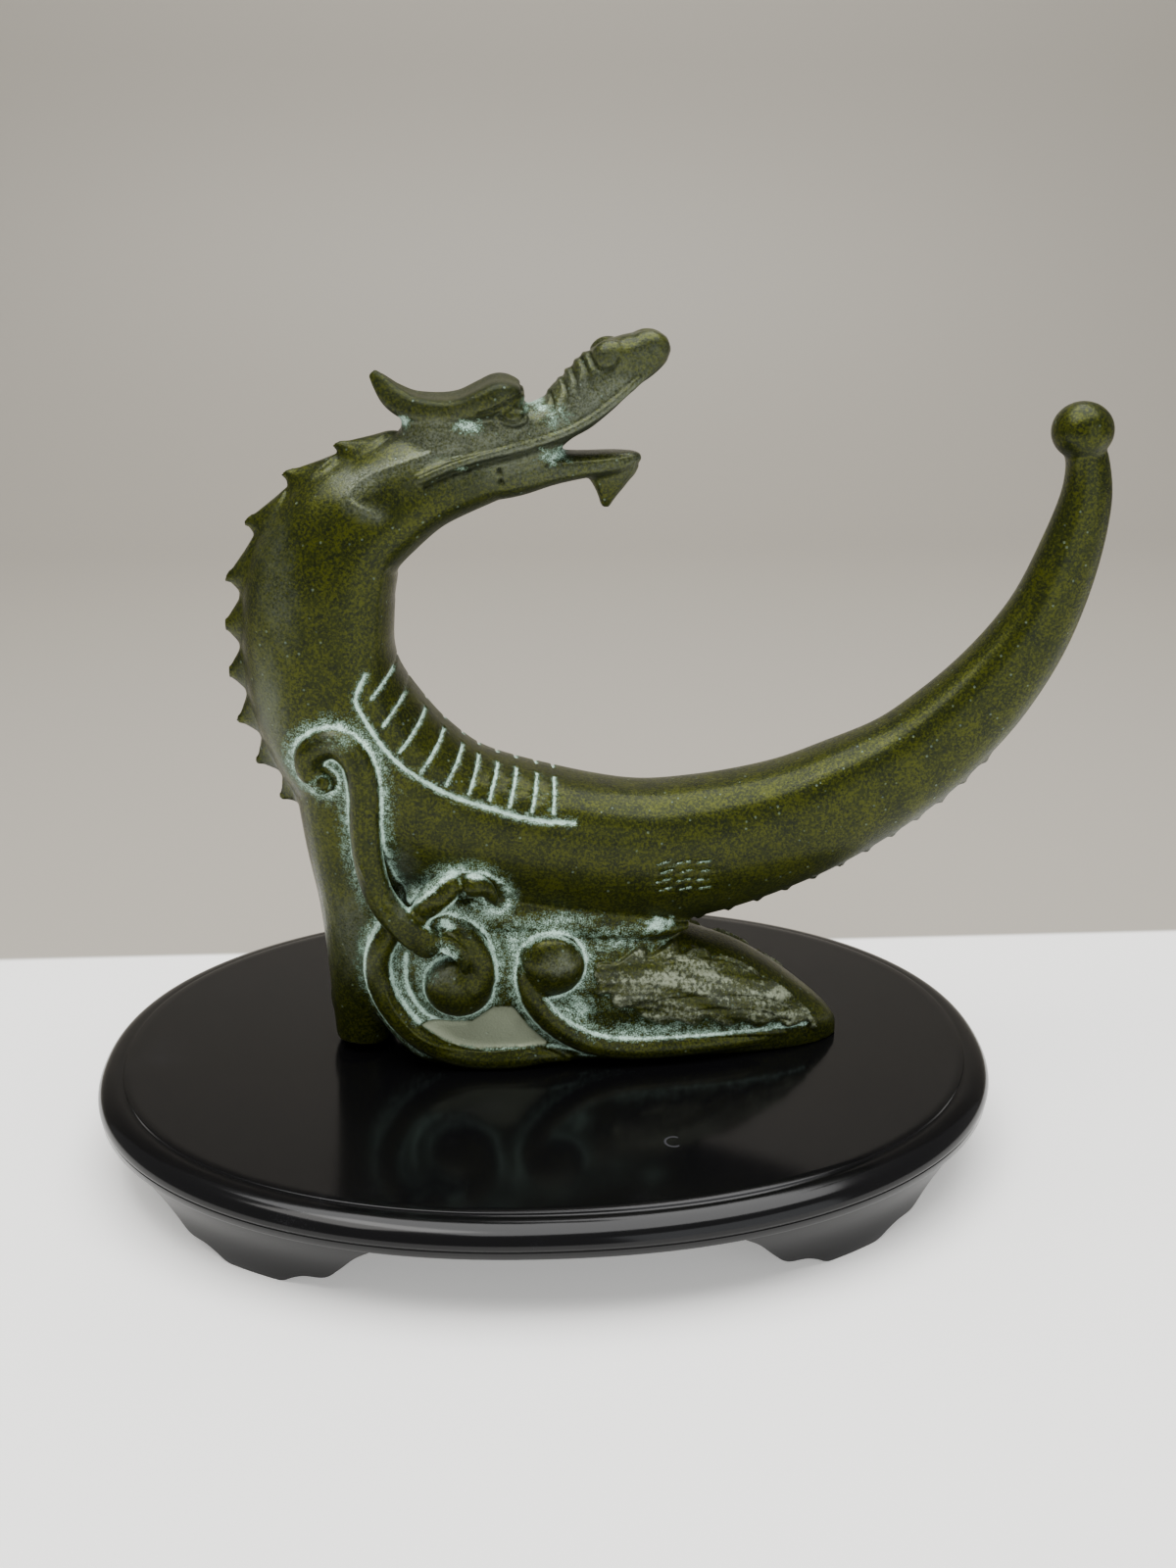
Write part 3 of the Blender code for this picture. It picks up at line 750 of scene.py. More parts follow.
def spike_tree(late: float = 7.0, tip_least: float = 0.03) -> Tree:
    """A Geometry Nodes tree that stands a blunt, hollow-sided fin on every point it is given.

    Args:
        late: how late on the way up a fin's tip rounds off.
        tip_least: the least width of the tip's end, as a share of the root's.

    Returns:
        The tree. It reads the points' outward, size and lean attributes.
    """
    tree = bpy.data.node_groups.new("back_spikes", "GeometryNodeTree")
    face = tree.interface
    face.new_socket("Geometry", in_out="INPUT", socket_type="NodeSocketGeometry")
    for name, kind in (("Sides", "Int"), ("Steps", "Int"), ("Blunt Tip", "Float"), ("Hollow", "Float"),
                       ("Root Share", "Float"), ("Finish", "Material")):
        face.new_socket(name, in_out="INPUT", socket_type="NodeSocket" + kind)
    face.new_socket("Geometry", in_out="OUTPUT", socket_type="NodeSocketGeometry")
    hand = NodeTree(tree)
    given = tree.nodes.new("NodeGroupInput")
    made = tree.nodes.new("NodeGroupOutput")
    root = given.outputs["Root Share"]
    links = {"Vertices": given.outputs["Sides"], "Side Segments": given.outputs["Steps"], "Radius Top": 1.0,
             "Radius Bottom": 1.0, "Depth": 1.0}
    stump = hand.add("GeometryNodeMeshCone", links, fill_type="NGON").outputs["Mesh"]
    place = hand.add("ShaderNodeSeparateXYZ", {0: hand.add("GeometryNodeInputPosition").outputs[0]})
    climb = hand.math("DIVIDE", hand.less(place.outputs["Z"], root), hand.less(1.0, root))
    climb = hand.math("MAXIMUM", climb, 0.0)
    width = hand.less(1.0, hand.math("POWER", climb, given.outputs["Hollow"]))
    width = hand.math("MAXIMUM", width, given.outputs["Blunt Tip"])
    round_off = hand.math("SQRT", hand.less(1.0, hand.math("POWER", climb, late)))
    width = hand.times(width, hand.math("MAXIMUM", round_off, tip_least))
    sides = {0: hand.times(place.outputs["X"], width), 1: hand.times(place.outputs["Y"], width),
             2: place.outputs["Z"]}
    links = {"Geometry": stump, "Name": "climb", "Value": climb}
    stump = hand.add("GeometryNodeStoreNamedAttribute", links, data_type="FLOAT").outputs[0]
    links = {"Geometry": stump, "Position": hand.add("ShaderNodeCombineXYZ", sides).outputs[0]}
    fin = hand.add("GeometryNodeSetPosition", links).outputs[0]

    def named(name: str, kind: str = "FLOAT_VECTOR") -> Socket:
        """An attribute of the points."""
        node = hand.add("GeometryNodeInputNamedAttribute", {"Name": name}, data_type=kind)
        return node.outputs["Attribute"]

    align = "FunctionNodeAlignRotationToVector"
    turned = hand.add(align, {"Vector": named("outward")}, axis="Z").outputs[0]
    links = {"Rotation": turned, "Vector": (0.0, 1.0, 0.0)}
    turned = hand.add(align, links, axis="Y", pivot_axis="Z").outputs[0]
    tall = hand.add("ShaderNodeSeparateXYZ", {0: named("size")}).outputs["Z"]
    depth = hand.times(hand.times(tall, root), -1.0)
    links = {0: named("outward"), "Scale": depth}
    sunk = hand.add("ShaderNodeVectorMath", links, operation="SCALE").outputs[0]
    links = {"Points": given.outputs["Geometry"], "Instance": fin, "Rotation": turned, "Scale": named("size")}
    stood = hand.add("GeometryNodeInstanceOnPoints", links).outputs[0]
    links = {"Instances": stood, "Translation": sunk, "Local Space": False}
    stood = hand.add("GeometryNodeTranslateInstances", links).outputs[0]
    whole = hand.add("GeometryNodeRealizeInstances", {"Geometry": stood}).outputs[0]
    links = {0: named("lean"), "Scale": named("climb", "FLOAT")}
    leant = hand.add("ShaderNodeVectorMath", links, operation="SCALE").outputs[0]
    whole = hand.add("GeometryNodeSetPosition", {"Geometry": whole, "Offset": leant}).outputs[0]
    links = {"Geometry": whole, "Material": given.outputs["Finish"]}
    whole = hand.add("GeometryNodeSetMaterial", links).outputs[0]
    tree.links.new(whole, made.inputs[0])
    return tree


@dataclass(frozen=True)
class Head:
    """Open jaws, beard, the saddle-shaped crest that ends in a horn, eyes, nostrils, snout folds and lips."""

    upper_jaw: Rows = (
        (-24, 254, 14, 16.5), (-8, 259, 12.4, 16.5), (5.5, 267.2, 9.4, 13.5), (13, 272.5, 10.4, 12.2),
        (21, 280, 11.2, 11.5), (29, 286.6, 10.4, 11), (38, 290.8, 8.8, 10), (45, 293.8, 6.2, 8),
        (48.5, 295, 2.6, 4),
    )
    skull: Rows = (
        (-53, 263, 4.5, 6), (-48, 262, 7.5, 11.5), (-38, 261, 9, 15.5), (-24, 261.5, 9.5, 17),
        (-12, 264, 8.5, 16), (-3, 267, 6, 12),
    )
    lower_jaw: Rows = (
        (-26, 246.5, 10.4, 16), (-10, 247.5, 9, 15), (4, 249, 6.4, 12.5), (16, 250, 5, 10),
        (28, 251, 4.3, 8.5), (35, 252.2, 2.8, 5.4), (38.5, 252.6, 1.2, 2.4),
    )
    beard: Rows = (
        (26.6, 250.5, 11.4, 6.5), (26.2, 246.5, 9.8, 5.6), (25.9, 242.5, 6.8, 4.6), (25.3, 238, 3.8, 3.4),
        (24.6, 233.4, 1.5, 1.5),
    )
    crest: Rows = (
        (-63, 285.2, 1.8, 2), (-60, 281.8, 3.6, 3.8), (-55, 276.6, 5.4, 7.5), (-48, 273, 5.8, 11.5),
        (-38, 272, 5.6, 15), (-30, 272.8, 5.6, 17), (-22, 275.3, 6.8, 18.5), (-16, 277.2, 7.7, 18.5),
        (-11.5, 276.8, 7, 17), (-8.4, 275.6, 5.2, 14), (-6.6, 274.8, 2.6, 9),
    )
    balls: tuple[tuple[Row, Row], ...] = (
        ((-11, 15.2, 270), (6.4, 3.4, 3.6)), ((26, 6.6, 290.4), (7.4, 5.8, 6.8)),
        ((40.5, 3.6, 293.6), (8.2, 6, 6.6)),
    )
    folds: Row = (0.30, 0.35, 0.40, 0.45, 0.50, 0.55)
    fold_radius: float = 1.55
    fold_inset: Row = (0.2, 0.5)
    fold_reach: float = 1.35
    lip: Rows = (
        (45, 4.5, 288.5), (37, 9.3, 283), (28, 11, 275.5), (18, 12, 268.5), (6, 14, 263),
        (-12, 16.5, 258.5), (-23, 17.6, 256), (-35, 18.6, 252.5), (-46, 19.4, 248),
    )
    lip_radius: float = 1.65
    throat_rise: Row = (238, 262)
    nape_rise: Row = (-75, -35)
    head_to: float = 80
    crest_to: float = -5
    crest_rise: Row = (267.5, 271.5)
    crest_clear: float = 0.8
    snout_rise: Row = (281, 287)
    snout_clear: float = 0.65
    up_rise: Row = (0.2, 0.7)
    up_clear: float = 0.6
    dish_rise: Row = (269, 271)
    dish_up: Row = (0.1, 0.5)

    def add_to(self, forms: Forms) -> None:
        """Adds the head's forms.

        Args:
            forms: where to add them.
        """
        forms.add_flat_tube(self.upper_jaw, 120, power=2.4)
        forms.add_flat_tube(self.skull, 90, power=3.0)
        forms.add_flat_tube(self.lower_jaw, 90, power=2.5)
        forms.add_flat_tube(self.beard, 40, sides=24, power=2.0)
        forms.add_flat_tube(self.crest, 120, sides=64, power=3.4, hollow=0.3)
        rows = smooth_rows(self.upper_jaw, 200)
        outward = outward_of(rows)
        for share in self.folds:
            i = round(share * (len(rows) - 1))
            x, z, half_height, half_depth = rows[i]
            fold = []
            for angle in np.linspace(-self.fold_reach, self.fold_reach, 13):
                lift = -math.cos(angle) * (half_height - self.fold_inset[0])
                depth = math.sin(angle) * (half_depth - self.fold_inset[1])
                radius = self.fold_radius * (1 - 0.5 * abs(angle / self.fold_reach))
                fold.append((x + outward[i][0] * lift, depth, z + outward[i][1] * lift, radius))
            forms.add_tube(tuple(fold), 50, sides=14)
        lip = tuple((*place, self.lip_radius) for place in self.lip)
        for flank in Flank:
            forms.add_tube(lip, 100, sides=16, flank=flank)
            for middle, radii in self.balls:
                forms.add_ball(middle, radii, flank)

    def bloom_mask(self, points: Array, normals: Array) -> Array:
        """Where the head is greyed: its flanks, and less so the crest, the snout and whatever looks up.

        Args:
            points: the skin's points.
            normals: their normals.

        Returns:
            0 to 1 for each point.
        """
        x, z = points[:, 0], points[:, 2]
        mask = soft_step(z, *self.throat_rise) * soft_step(x, *self.nape_rise) * (x < self.head_to)
        mask *= 1 - self.crest_clear * soft_step(z, *self.crest_rise) * (x < self.crest_to)
        mask *= 1 - self.snout_clear * soft_step(z, *self.snout_rise)
        return mask * (1 - self.up_clear * soft_step(normals[:, 2], *self.up_rise))

    def dish_mask(self, points: Array, normals: Array) -> Array:
        """Where the upward faces of the crest's dish are painted in shade."""
        mask = soft_step(points[:, 2], *self.dish_rise) * soft_step(normals[:, 2], *self.dish_up)
        return mask * (points[:, 0] < self.crest_to)


@dataclass(frozen=True)
class WaveBase:
    """The block of waves and rock under the belly, with forelegs, claws, scrolls and knobs on both flanks."""

    block: Rows = (
        (-79, 34, 62, 8), (-74, 22, 72, 15), (-64, 8, 80, 20.5), (-52, -2, 84, 23.5), (-36, -2, 84, 25.5),
        (-12, -2, 78, 26), (15, -2, 68, 25.5), (40, -2, 60, 24.5), (62, -2, 51, 23.5), (82, -2, 43, 21.5),
        (98, -2, 33, 18.5), (112, -2, 22, 14), (121, -2, 14, 9), (126.5, -2, 7, 3.5),
    )
    waist: float = 0.3
    upper_power: float = 2.5
    lower_power: float = 4.5
    far_lobe: tuple[Row, Row] = ((-79, 12, 18), (15, 13, 21))
    breast: Rows = (
        (-78, 124, 24, 22), (-78, 98, 21, 20.5), (-76, 72, 19, 19), (-76, 46, 17, 16), (-78, 22, 14, 13),
        (-80, 4, 11, 10),
    )
    web: Rows = (
        (-58, 72, 13, 22), (-30, 69, 13, 23.5), (0, 65, 12, 22), (30, 61, 10, 20.5), (50, 58.5, 6, 17.5),
        (60, 58, 2.5, 13),
    )
    foreleg: Rows = (
        (-88, 25, 131, 4), (-93, 25, 136, 5), (-91, 25.5, 144, 6), (-82, 26, 148, 7), (-74, 26.5, 141, 7),
        (-71.5, 27, 128, 6.6), (-72, 27, 112, 6.4), (-71, 27, 96, 6.2), (-67.5, 27, 82, 6),
        (-60, 28.6, 71, 6.4), (-49.5, 30.4, 62, 6.4),
    )
    shoulder_disc: tuple[Row, Row] = ((-88, 27, 131), (4.6, 3, 4.6))
    claw: Rows = (
        (-47, 31.5, 62.5, 4), (-41, 33, 62, 3.8), (-36.6, 33.4, 58.6, 3.2), (-34.6, 33, 54, 2.4),
        (-33.8, 32, 49, 1),
    )
    upper_claw: Rows = (
        (-54.5, 25, 71, 2.8), (-49.5, 26, 76, 5.4), (-44, 27, 81.5, 7), (-38.6, 27.4, 86, 5.8),
        (-34.6, 27, 86.4, 3.4), (-30, 28.6, 86.4, 5.1), (-25.4, 28.4, 85, 3.9), (-22.2, 27.6, 80.4, 2.4),
        (-20.9, 26.6, 76.4, 0.9),
    )
    scroll: Rows = (
        (-42, 25, 67, 4.2), (-35, 26.2, 63.5, 5.4), (-29.4, 26.6, 55.5, 6.3), (-27.6, 26.5, 46, 6.8),
        (-30, 26.5, 39, 7.2),
    )
    claw_root: tuple[Row, Row] = ((-41, 20.5, 70), (13, 6.5, 9))
    scroll_bulb: tuple[Row, Row] = ((-37, 26, 39.6), (14.2, 8.4, 13.4))
    wave_arm: Rows = (
        (-63, 20.5, 66, 5), (-69, 21, 55, 6), (-70, 21.5, 43, 6), (-65.5, 22.5, 30, 5.8),
        (-56, 23.6, 17.5, 5.6), (-44, 24.2, 9, 5.2), (-31, 24.6, 4.8, 4.8), (-14, 24.8, 4.6, 4.7),
        (-1, 24.4, 5, 3.4), (9, 23.6, 3, 1.6),
    )
    knob: tuple[Row, Row] = ((1.6, 24.5, 47.6), (13.8, 8, 13.4))
    wave_tail: Rows = (
        (-7.5, 23, 52, 4), (-8.5, 24.4, 43, 5.2), (-6.2, 25.6, 33, 5.8), (1.8, 26.2, 22, 5.6),
        (15, 26, 12.6, 5.2), (31, 25.2, 8, 4.8), (48, 24, 7, 4.6), (66, 22, 7, 4.3), (84, 18.8, 7, 3.8),
        (100, 14.5, 6.6, 3), (114, 8.6, 5.6, 2),
    )

    def add_to(self, forms: Forms) -> None:
        """Adds the block and everything that stands out on its flanks.

        Args:
            forms: where to add them.
        """
        angle = np.linspace(0, 2 * math.pi, 72, endpoint=False)
        rings = []
        for x, underside, top, half_depth in smooth_rows(self.block, 160):
            waist = underside + (top - underside) * self.waist
            halves = []
            for power, height in ((self.upper_power, top - waist), (self.lower_power, waist - underside)):
                c, s = rounded(angle, power)
                halves.append(np.stack([0 * angle + x, half_depth * c, waist + height * s], axis=1))
            rings.append(np.where((angle <= math.pi)[:, None], *halves))
        forms.add_rings(np.array(rings))
        forms.add_ball(*self.far_lobe)
        forms.add_flat_tube(self.breast, 90, power=2.2)
        forms.add_flat_tube(self.web, 120, power=2.6)
        bands = (self.foreleg, self.claw, self.upper_claw, self.scroll, self.wave_arm, self.wave_tail)
        for flank in Flank:
            for band in bands:
                forms.add_tube(band, 16 * len(band), flank=flank)
            for ball in (self.shoulder_disc, self.knob, self.claw_root, self.scroll_bulb):
                forms.add_ball(*ball, flank=flank, rows=36, sides=48)


@dataclass(frozen=True)
class Cut:
    """A groove along a line on the flanks.

    Attributes:
        line: its corners in the plane of the crescent.
        width: how wide it is.
        depth: how deep, or how high where it is negative.
        paint: how much verdigris lies in it.
        flank_from: how far from the mid-plane it starts.
    """

    line: Array
    width: float
    depth: float
    paint: float
    flank_from: float = 5.0


@dataclass(frozen=True)
class Relief:
    """Shallow work on the flanks, from the belly edge and its strokes to the rock, and where patina gathers.

    Spots and worn places are x, z, half width, half height and strength. A cut is width, depth, verdigris
    and, where it isn't 5, how far from the mid-plane it starts.
    """

    belly_edge: Rows = (
        (-69, 174), (-73, 165), (-70, 157), (-65, 148), (-59, 140), (-51, 133), (-42, 127), (-32, 122),
        (-22, 118.5), (-12, 115), (-2, 112.5), (11, 111),
    )
    stroke_starts: Rows = (
        (-67, 165), (-63, 154), (-57, 143), (-49, 134.5), (-39.5, 128.5), (-30.5, 124.5), (-22.5, 121.5),
        (-14.5, 118.5), (-5.5, 116.5), (3, 115),
    )
    stroke_ends: Rows = (
        (-59, 173), (-55, 163), (-46, 156), (-38.5, 148), (-31, 142), (-25, 137.5), (-18, 133.5),
        (-11, 129.5), (-3, 126.5), (4, 124.5),
    )
    plate_reach: float = 1.7
    inscription_at: Row = (45, 92)
    inscription_rows: int = 4
    inscription_columns: int = 3
    stroke_pitch: float = 8.2
    stroke_stagger: float = 1.6
    stroke_run: float = 5.2
    stroke_rise: float = 1.4
    stroke_turn: float = 0.5
    row_pitch: float = 4.2
    inscription_cut: Row = (1.2, 0.4, 0.75)
    belly_cut: Row = (3.2, 1.4, 1.0)
    stroke_cut: Row = (2.1, 1.1, 1.0)
    plate_cut: Row = (1.7, 0.7, 0.0, 0.0)
    side_cut: Row = (1.6, 0.5, 0.6)
    cheek_cut: Row = (3.6, -0.5, 0.0)
    lip_cut: Row = (2.2, 1.0, 0.0, 3.0)
    valley_cut: Row = (5.0, 0.7, 0.92, 12.0)
    ring_cut: Row = (1.6, 0.8, 0.5)
    vein_cut: Row = (1.5, 0.9, 0.25)
    ridge_cut: Row = (2.4, -0.7, 0.0, 12.0)
    head_cut: Row = (2.2, 1.0, 0.0, 3.0)
    joint_cut: Row = (2.0, 0.8, 0.3, 20.0)
    pinhole_cut: Row = (3.0, 2.6, 0.0)
    disc_ring: Row = (-87.5, 131.5, 3.4)
    lip_crevice: Rows = (
        (45, 285.5), (37, 279.5), (28.5, 272), (18, 265.3), (6, 260.3), (-12, 255.6), (-23, 253),
        (-35, 249.3), (-44, 245.5),
    )
    cheek_edge: Rows = (
        (-36, 259), (-45, 256), (-56, 252.5), (-66, 248.5), (-73, 242), (-69.5, 238.2), (-61.6, 235.5),
    )
    verdigris_spots: Rows = (
        (-27, 267, 7, 3.2, 0.72), (-2, 273.5, 6, 3.4, 0.55), (5, 270, 8, 6, 0.45), (5, 255, 8, 4, 0.62),
        (-52, 268, 5, 3, 0.7), (46, 61.5, 8, 4, 0.85), (-93, 128, 5, 5, 0.7), (-41, 69.4, 6, 2.6, 0.85),
        (-27, 72, 10, 7, 0.5), (4, 66, 20, 5, 0.6), (30, 60, 24, 4, 0.5), (-14, 58, 6, 14, 0.62),
        (13, 28, 8, 7, 0.8), (42, 16, 30, 3.4, 0.6), (30, 54, 16, 4, 0.55), (-52, 47, 7, 5, 0.6),
        (-48, 24, 10, 4, 0.5), (-30, 252, 3, 1.5, 0.5), (-78, 150, 12, 5, 0.35),
    )
    ridges: tuple[Rows, ...] = (
        ((-74, 97), (-70.1, 86), (-65.4, 76.5), (-58, 69.7), (-45.5, 65.6)),
        ((-0.7, 32.9), (6.3, 23.7), (19.6, 15.2), (33.1, 11.9), (50, 11.4), (65.4, 11.6), (84, 10.6),
         (102, 8.6)),
        ((-67, 38), (-62.6, 28.2), (-51.5, 15.8), (-31.3, 8.9), (-11.6, 9.4), (-2.6, 10.6), (9, 4)),
    )
    head_lines: tuple[Rows, ...] = (
        ((18, 296.5), (18.6, 290.5), (21.7, 286.9), (26.5, 287.4), (28.8, 291)),
        ((14.6, 291.2), (17.1, 286.3), (18.5, 281)), ((10.6, 287.8), (12.8, 282.9), (14.2, 277.3)),
        ((7.5, 283.4), (9.2, 279.6), (9.9, 274.4)), ((2.9, 278.8), (4.2, 275.3), (3.9, 271.8)),
        ((-23.8, 271.5), (-18.8, 273.2), (-14.4, 275.3), (-10, 277), (-6.8, 279.4)),
        ((-16, 271.8), (-11.5, 268.6), (-7, 270.4), (-4.8, 273.8)),
    )
    valley: Rows = ((-58.5, 52), (-59, 46), (-58.5, 39), (-55.6, 31.5), (-50, 25), (-42, 22.4), (-35, 22.4))
    side_line: Rows = ((6.9, 127.9), (17.5, 123.1), (34.3, 120.8))
    joints: tuple[Rows, ...] = (
        ((-44, 67.5), (-42.6, 62), (-44.6, 55)), ((-38.5, 93), (-35, 89), (-33.5, 83)),
    )
    worn: Rows = (
        (-58, 88, 5, 12, 0.9), (4, 51, 7, 5, 0.8), (-44, 48, 6, 4, 0.85), (-80, 60, 8, 20, 0.6),
        (-101, 207, 7, 24, 0.35), (-107, 158, 6, 26, 0.45), (-72, 247, 10, 5, 0.5),
        (-82, 150, 7, 4.5, 0.45),
    )
    pinholes: Rows = ((-16, 250.5), (-15.5, 246.5))
    veins: tuple[Rows, ...] = (
        ((36, 28), (52, 30), (66.9, 29.5), (82, 28), (92.7, 25.1), (106, 18), (114.3, 13.6)),
        ((41.3, 45.2), (58, 45), (73.2, 42.6), (87, 36), (99.4, 27.5)),
        ((60, 24), (76, 23.5), (90, 20.5), (103, 14)), ((70, 36), (80, 34.5), (90, 30.5)),
    )
    rock: Rows = (
        (19, 40, 3), (26, 39, 9), (38, 36, 15), (52, 34.5, 17), (66, 33, 15.5), (82, 28.5, 13.5),
        (98, 22.5, 9.5), (118, 12.5, 4),
    )
    face: Rows = (
        (-56, 19, 3), (-47, 17.5, 6), (-32, 16, 7.5), (-23, 19.5, 11), (-15, 19.5, 11), (-8, 14.5, 5.5),
        (-1, 11, 1.5),
    )

    def cuts(self) -> list[Cut]:
        """Gathers the grooves and ridges that both flanks have.

        Returns:
            One cut for each.
        """
        angle = np.linspace(0, 2 * math.pi, 25)
        x, z, radius = self.disc_ring
        ring = np.stack([x + radius * np.cos(angle), z + radius * np.sin(angle)], 1)
        found = [Cut(ring, *self.ring_cut)]
        for start, end in zip(self.stroke_starts, self.stroke_ends):
            line = np.array([start, end], float)
            over = np.array([line[1], line[1] + (line[1] - line[0]) * self.plate_reach])
            found += [Cut(line, *self.stroke_cut), Cut(over, *self.plate_cut)]
        for lines, reads, figures in (
            ((self.belly_edge,), 80, self.belly_cut), ((self.side_line,), 20, self.side_cut),
            ((self.cheek_edge,), 80, self.cheek_cut), ((self.lip_crevice,), 80, self.lip_cut),
            ((self.valley,), 40, self.valley_cut), (self.veins, 30, self.vein_cut),
            (self.ridges, 60, self.ridge_cut), (self.head_lines, 20, self.head_cut),
            (self.joints, 20, self.joint_cut),
        ):
            found += [Cut(smooth_rows(line, reads), *figures) for line in lines]
        found += [Cut(np.array([hole, hole], float), *self.pinhole_cut) for hole in self.pinholes]
        return found

    def inscription(self) -> list[Cut]:
        """Rows of plain strokes where the original carries a carved mark.

        Returns:
            One cut for each stroke.
        """
        found = []
        x, z = self.inscription_at
        for row in range(self.inscription_rows):
            for column in range(self.inscription_columns):
                left = x + self.stroke_pitch * column + self.stroke_stagger * (row % 2)
                height = z - self.row_pitch * row
                rise = self.stroke_rise - self.stroke_turn * column
                end = (left + self.stroke_run - row % 2, height + rise)
                found.append(Cut(np.array([(left, height), end]), *self.inscription_cut))
        return found

    def crevices(self, plane: Array) -> Array:
        """Marks narrow places painted dark as shade: the lips' crevice, the pinholes and the lines of the
        head.

        Args:
            plane: the points in the plane of the crescent.

        Returns:
            0 to 1 for each point.
        """
        marks = [(smooth_rows(self.lip_crevice, 40), 5.0, 1.0)]
        marks += [(np.array([hole, hole], float), 3.2, 1.0) for hole in self.pinholes]
        marks += [(smooth_rows(line, 12), 2.2, 0.7) for line in self.head_lines]
        crevice = np.zeros(len(plane))
        for line, width, strength in marks:
            crevice = np.maximum(crevice, strength * bump(distance_to(plane, line), width))
        return crevice

    @staticmethod
    def streaks(plane: Array) -> Array:
        """Long slanting cracks and ribs of the rock.

        Args:
            plane: the points in the plane of the crescent.

        Returns:
            For each point a height from about -1.3 to 1.3.
        """
        x, z = plane.T
        drift = z + 0.22 * x + 2.2 * np.sin(0.08 * x + 0.6)
        broad = np.sin(0.52 * drift + 1.1 * np.sin(0.09 * x)) * np.sin(0.17 * drift + 0.06 * x)
        return broad + 0.35 * np.sin(1.7 * drift + 1.6 * np.sin(0.13 * x))

    @staticmethod
    def stains(rows: Rows, plane: Array, fade: Row) -> Array:
        """Ragged stains.

        Args:
            rows: for each its x, z, half width, half height and strength.
            plane: the points in the plane of the crescent.
            fade: where a stain starts to fade and where it ends, in half widths.

        Returns:
            The strongest stain at each point.
        """
        ragged = 0.3 * np.sin(0.9 * plane[:, 0] + 1.7 * np.sin(0.7 * plane[:, 1])) * np.sin(1.1 * plane[:, 1])
        found = np.zeros(len(plane))
        for x, z, half_x, half_z, strength in rows:
            away = np.hypot((plane[:, 0] - x) / half_x, (plane[:, 1] - z) / half_z) + ragged
            found = np.maximum(found, strength * (1 - soft_step(away, *fade)))
        return found

    @staticmethod
    def patch(rows: Rows, plane: Array) -> Array:
        """Marks an area of the flanks, with soft edges.

        Args:
            rows: x, middle z and half height along it.
            plane: the points in the plane of the crescent.

        Returns:
            1 inside and 0 outside.
        """
        known = np.array(rows, float).T
        middle, half = (np.interp(plane[:, 0], known[0], column) for column in known[1:])
        inside = (plane[:, 0] > known[0][0]) & (plane[:, 0] < known[0][-1])
        return inside * soft_step(1 - np.abs(plane[:, 1] - middle) / half, 0, 0.22)


